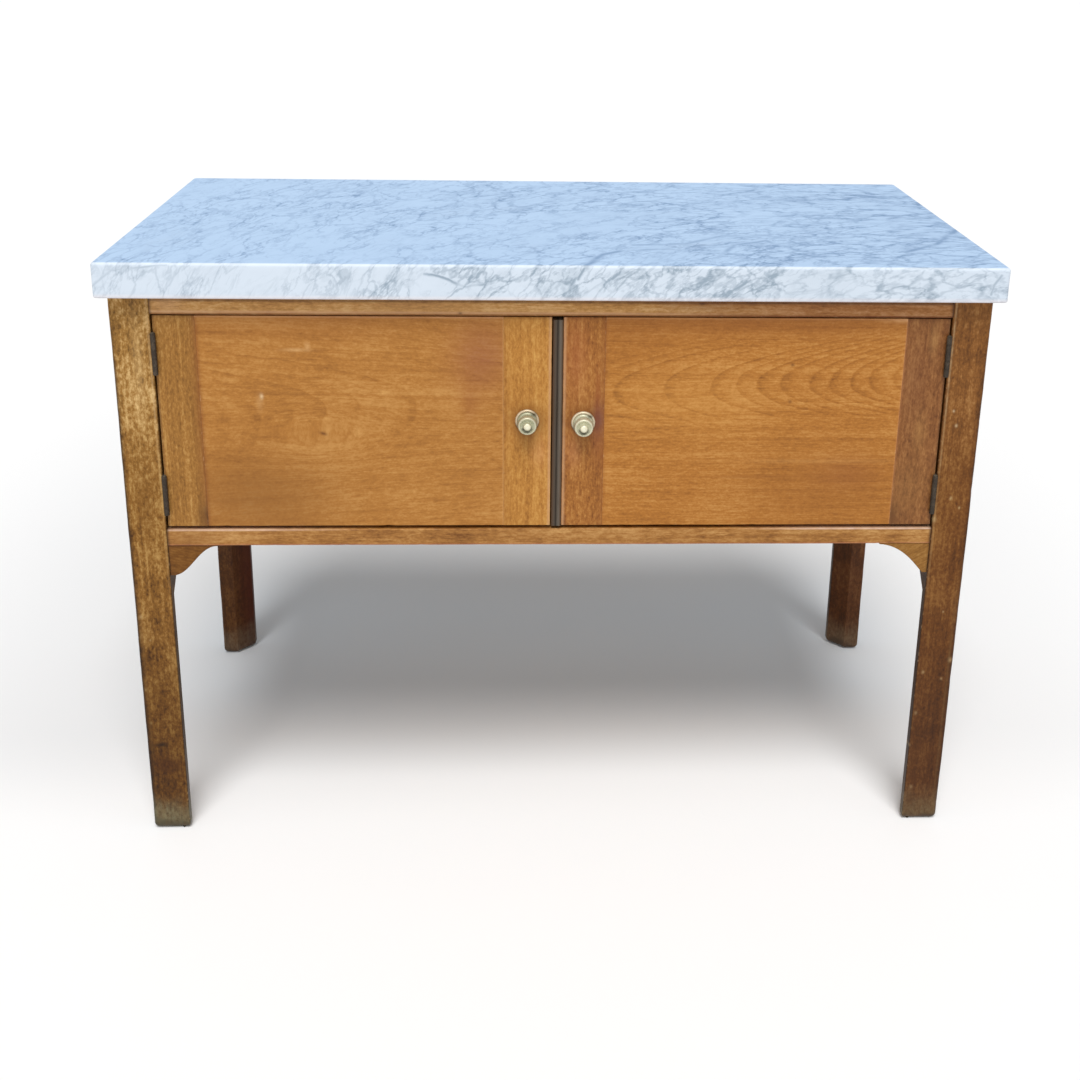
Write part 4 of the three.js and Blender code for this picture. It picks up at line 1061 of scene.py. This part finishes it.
for side_name, side in (("left", -1), ("right", 1)):
    repaint(side_name + "_knob_nut", steel)
    for place in ("top", "bottom"):
        hinge = f"{side_name}_{place}_hinge_"
        repaint(hinge + "leg_leaf", steel)
        repaint(hinge + "door_leaf", steel)
        repaint(hinge + "pin", pin_steel)
        low, high = box_mm(hinge + "leg_leaf")
        leg_face = (high[0] if side > 0 else low[0]) - side * (SEAT_GAP + LEAF_THICKNESS)
        screw_row(hinge + "leg_leaf", leg_face, -side, "carcass")
        screw_row(hinge + "door_leaf", leg_face - side * LEAF_GAP, side, side_name + "_door")


# Floor, light and camera

FLOOR_HALF, FLOOR_LEVEL = 30.0, -0.0002
FLOOR_WHITE, FLOOR_LIT, FLOOR_PAINTED_SHADOW, FLOOR_UNDER = (254,) * 3, (228,) * 3, (232, 233, 234), (238, 246, 253)
CAMERA_PLACE, YAW, PITCH, ROLL = Vector((-0.0480, -1.8147, 1.1599)), 0.04981, -0.31157, 0.01845
FRAME_PIXELS, FOCAL_PIXELS, OPTICAL_CENTRE, SENSOR, FARTHEST = 1080, 1379.5, (581.5, 360.0), 36.0, 200


def seen_share(paint):
    """1 for the camera and for reflections and refractions, and 0 for the light that falls on things."""
    path = paint.node("LightPath")
    return path.most(path.output("Is Glossy Ray")).most(path.output("Is Transmission Ray"))


def white_floor():
    """A white sheet far wider than the view. What the camera or a reflection sees of it is pure white where
    nothing shades it, and it throws a little less light back. Beside and behind the object a painted soft
    shadow makes it a touch grey, more so at the left, and under it a touch of blue is painted against the
    wood's warm light."""
    paint, point = new_paint("white_floor")
    x, y, _ = apart(point)
    # A painted soft shadow beside and behind the object, more at the left
    beside = abs(x).rise(1400, 450) * y.rise(-260, 0) * y.rise(2200, 500) * (1.0 - 0.45 * x.rise(-300, 300))
    under = abs(x).rise(700, 350) * y.rise(-40, 140) * y.rise(650, 300)
    pure = paint.mix(under, paint.mix(beside, FLOOR_WHITE, FLOOR_PAINTED_SHADOW), FLOOR_UNDER)
    shader = paint.node("BsdfDiffuse", {"Color": paint.mix(seen_share(paint), FLOOR_LIT, pure)})
    paint.node("OutputMaterial", {"Surface": shader})
    mesh = bpy.data.meshes.new("floor")
    corners = ((-1, -1), (1, -1), (1, 1), (-1, 1))
    mesh.from_pydata([(a * FLOOR_HALF, b * FLOOR_HALF, FLOOR_LEVEL) for a, b in corners], [], [(0, 1, 2, 3)])
    mesh.materials.append(paint.owner)
    add_object("floor", mesh)


def white_world(strength):
    """An even white sky at this strength, seen as pure white by the camera and in reflections."""
    world = bpy.data.worlds.new("white_world")
    bpy.context.scene.world = world
    paint = Paint(world)
    light = strength + seen_share(paint) * (1 - strength)
    background = paint.node("Background", {"Color": (1, 1, 1, 1), "Strength": light})
    paint.node("OutputWorld", {"Surface": background})


def soft_sun(name, elevation, azimuth, width, level):
    """A wide even light from far away. Level is what it adds to a white surface that faces it."""
    lamp = bpy.data.lights.new(name, "SUN")
    lamp.angle = math.radians(width)
    lamp.energy = level * math.pi
    a, e = math.radians(azimuth), math.radians(elevation)
    towards = Vector((math.sin(a) * math.cos(e), -math.cos(a) * math.cos(e), math.sin(e)))
    sun = add_object(name, lamp)
    sun.rotation_mode = "QUATERNION"
    sun.rotation_quaternion = towards.to_track_quat("Z", "Y")


def photo_camera():
    """The camera stands in front of the middle, a little above the slab's height, and looks down."""
    forward = Vector((math.sin(YAW) * math.cos(PITCH), math.cos(YAW) * math.cos(PITCH), math.sin(PITCH)))
    level_right = Vector((math.cos(YAW), -math.sin(YAW), 0))
    level_up = level_right.cross(forward)
    right = level_right * math.cos(ROLL) + level_up * math.sin(ROLL)
    up = level_up * math.cos(ROLL) - level_right * math.sin(ROLL)
    data = bpy.data.cameras.new("photo_camera")
    data.sensor_width = SENSOR
    data.lens = FOCAL_PIXELS / FRAME_PIXELS * SENSOR
    data.shift_x = (FRAME_PIXELS / 2 - OPTICAL_CENTRE[0]) / FRAME_PIXELS
    data.shift_y = (OPTICAL_CENTRE[1] - FRAME_PIXELS / 2) / FRAME_PIXELS
    data.clip_end = FARTHEST
    camera = add_object("photo_camera", data)
    camera.matrix_world = Matrix((*zip(right, up, -forward, CAMERA_PLACE), (0, 0, 0, 1)))
    bpy.context.scene.camera = camera


white_floor()
white_world(0.36)
soft_sun("key_sun", elevation=62, azimuth=0, width=28, level=0.73)
soft_sun("front_fill", elevation=12, azimuth=-15, width=60, level=0.15)
photo_camera()
bpy.context.scene.view_settings.view_transform = "Standard"
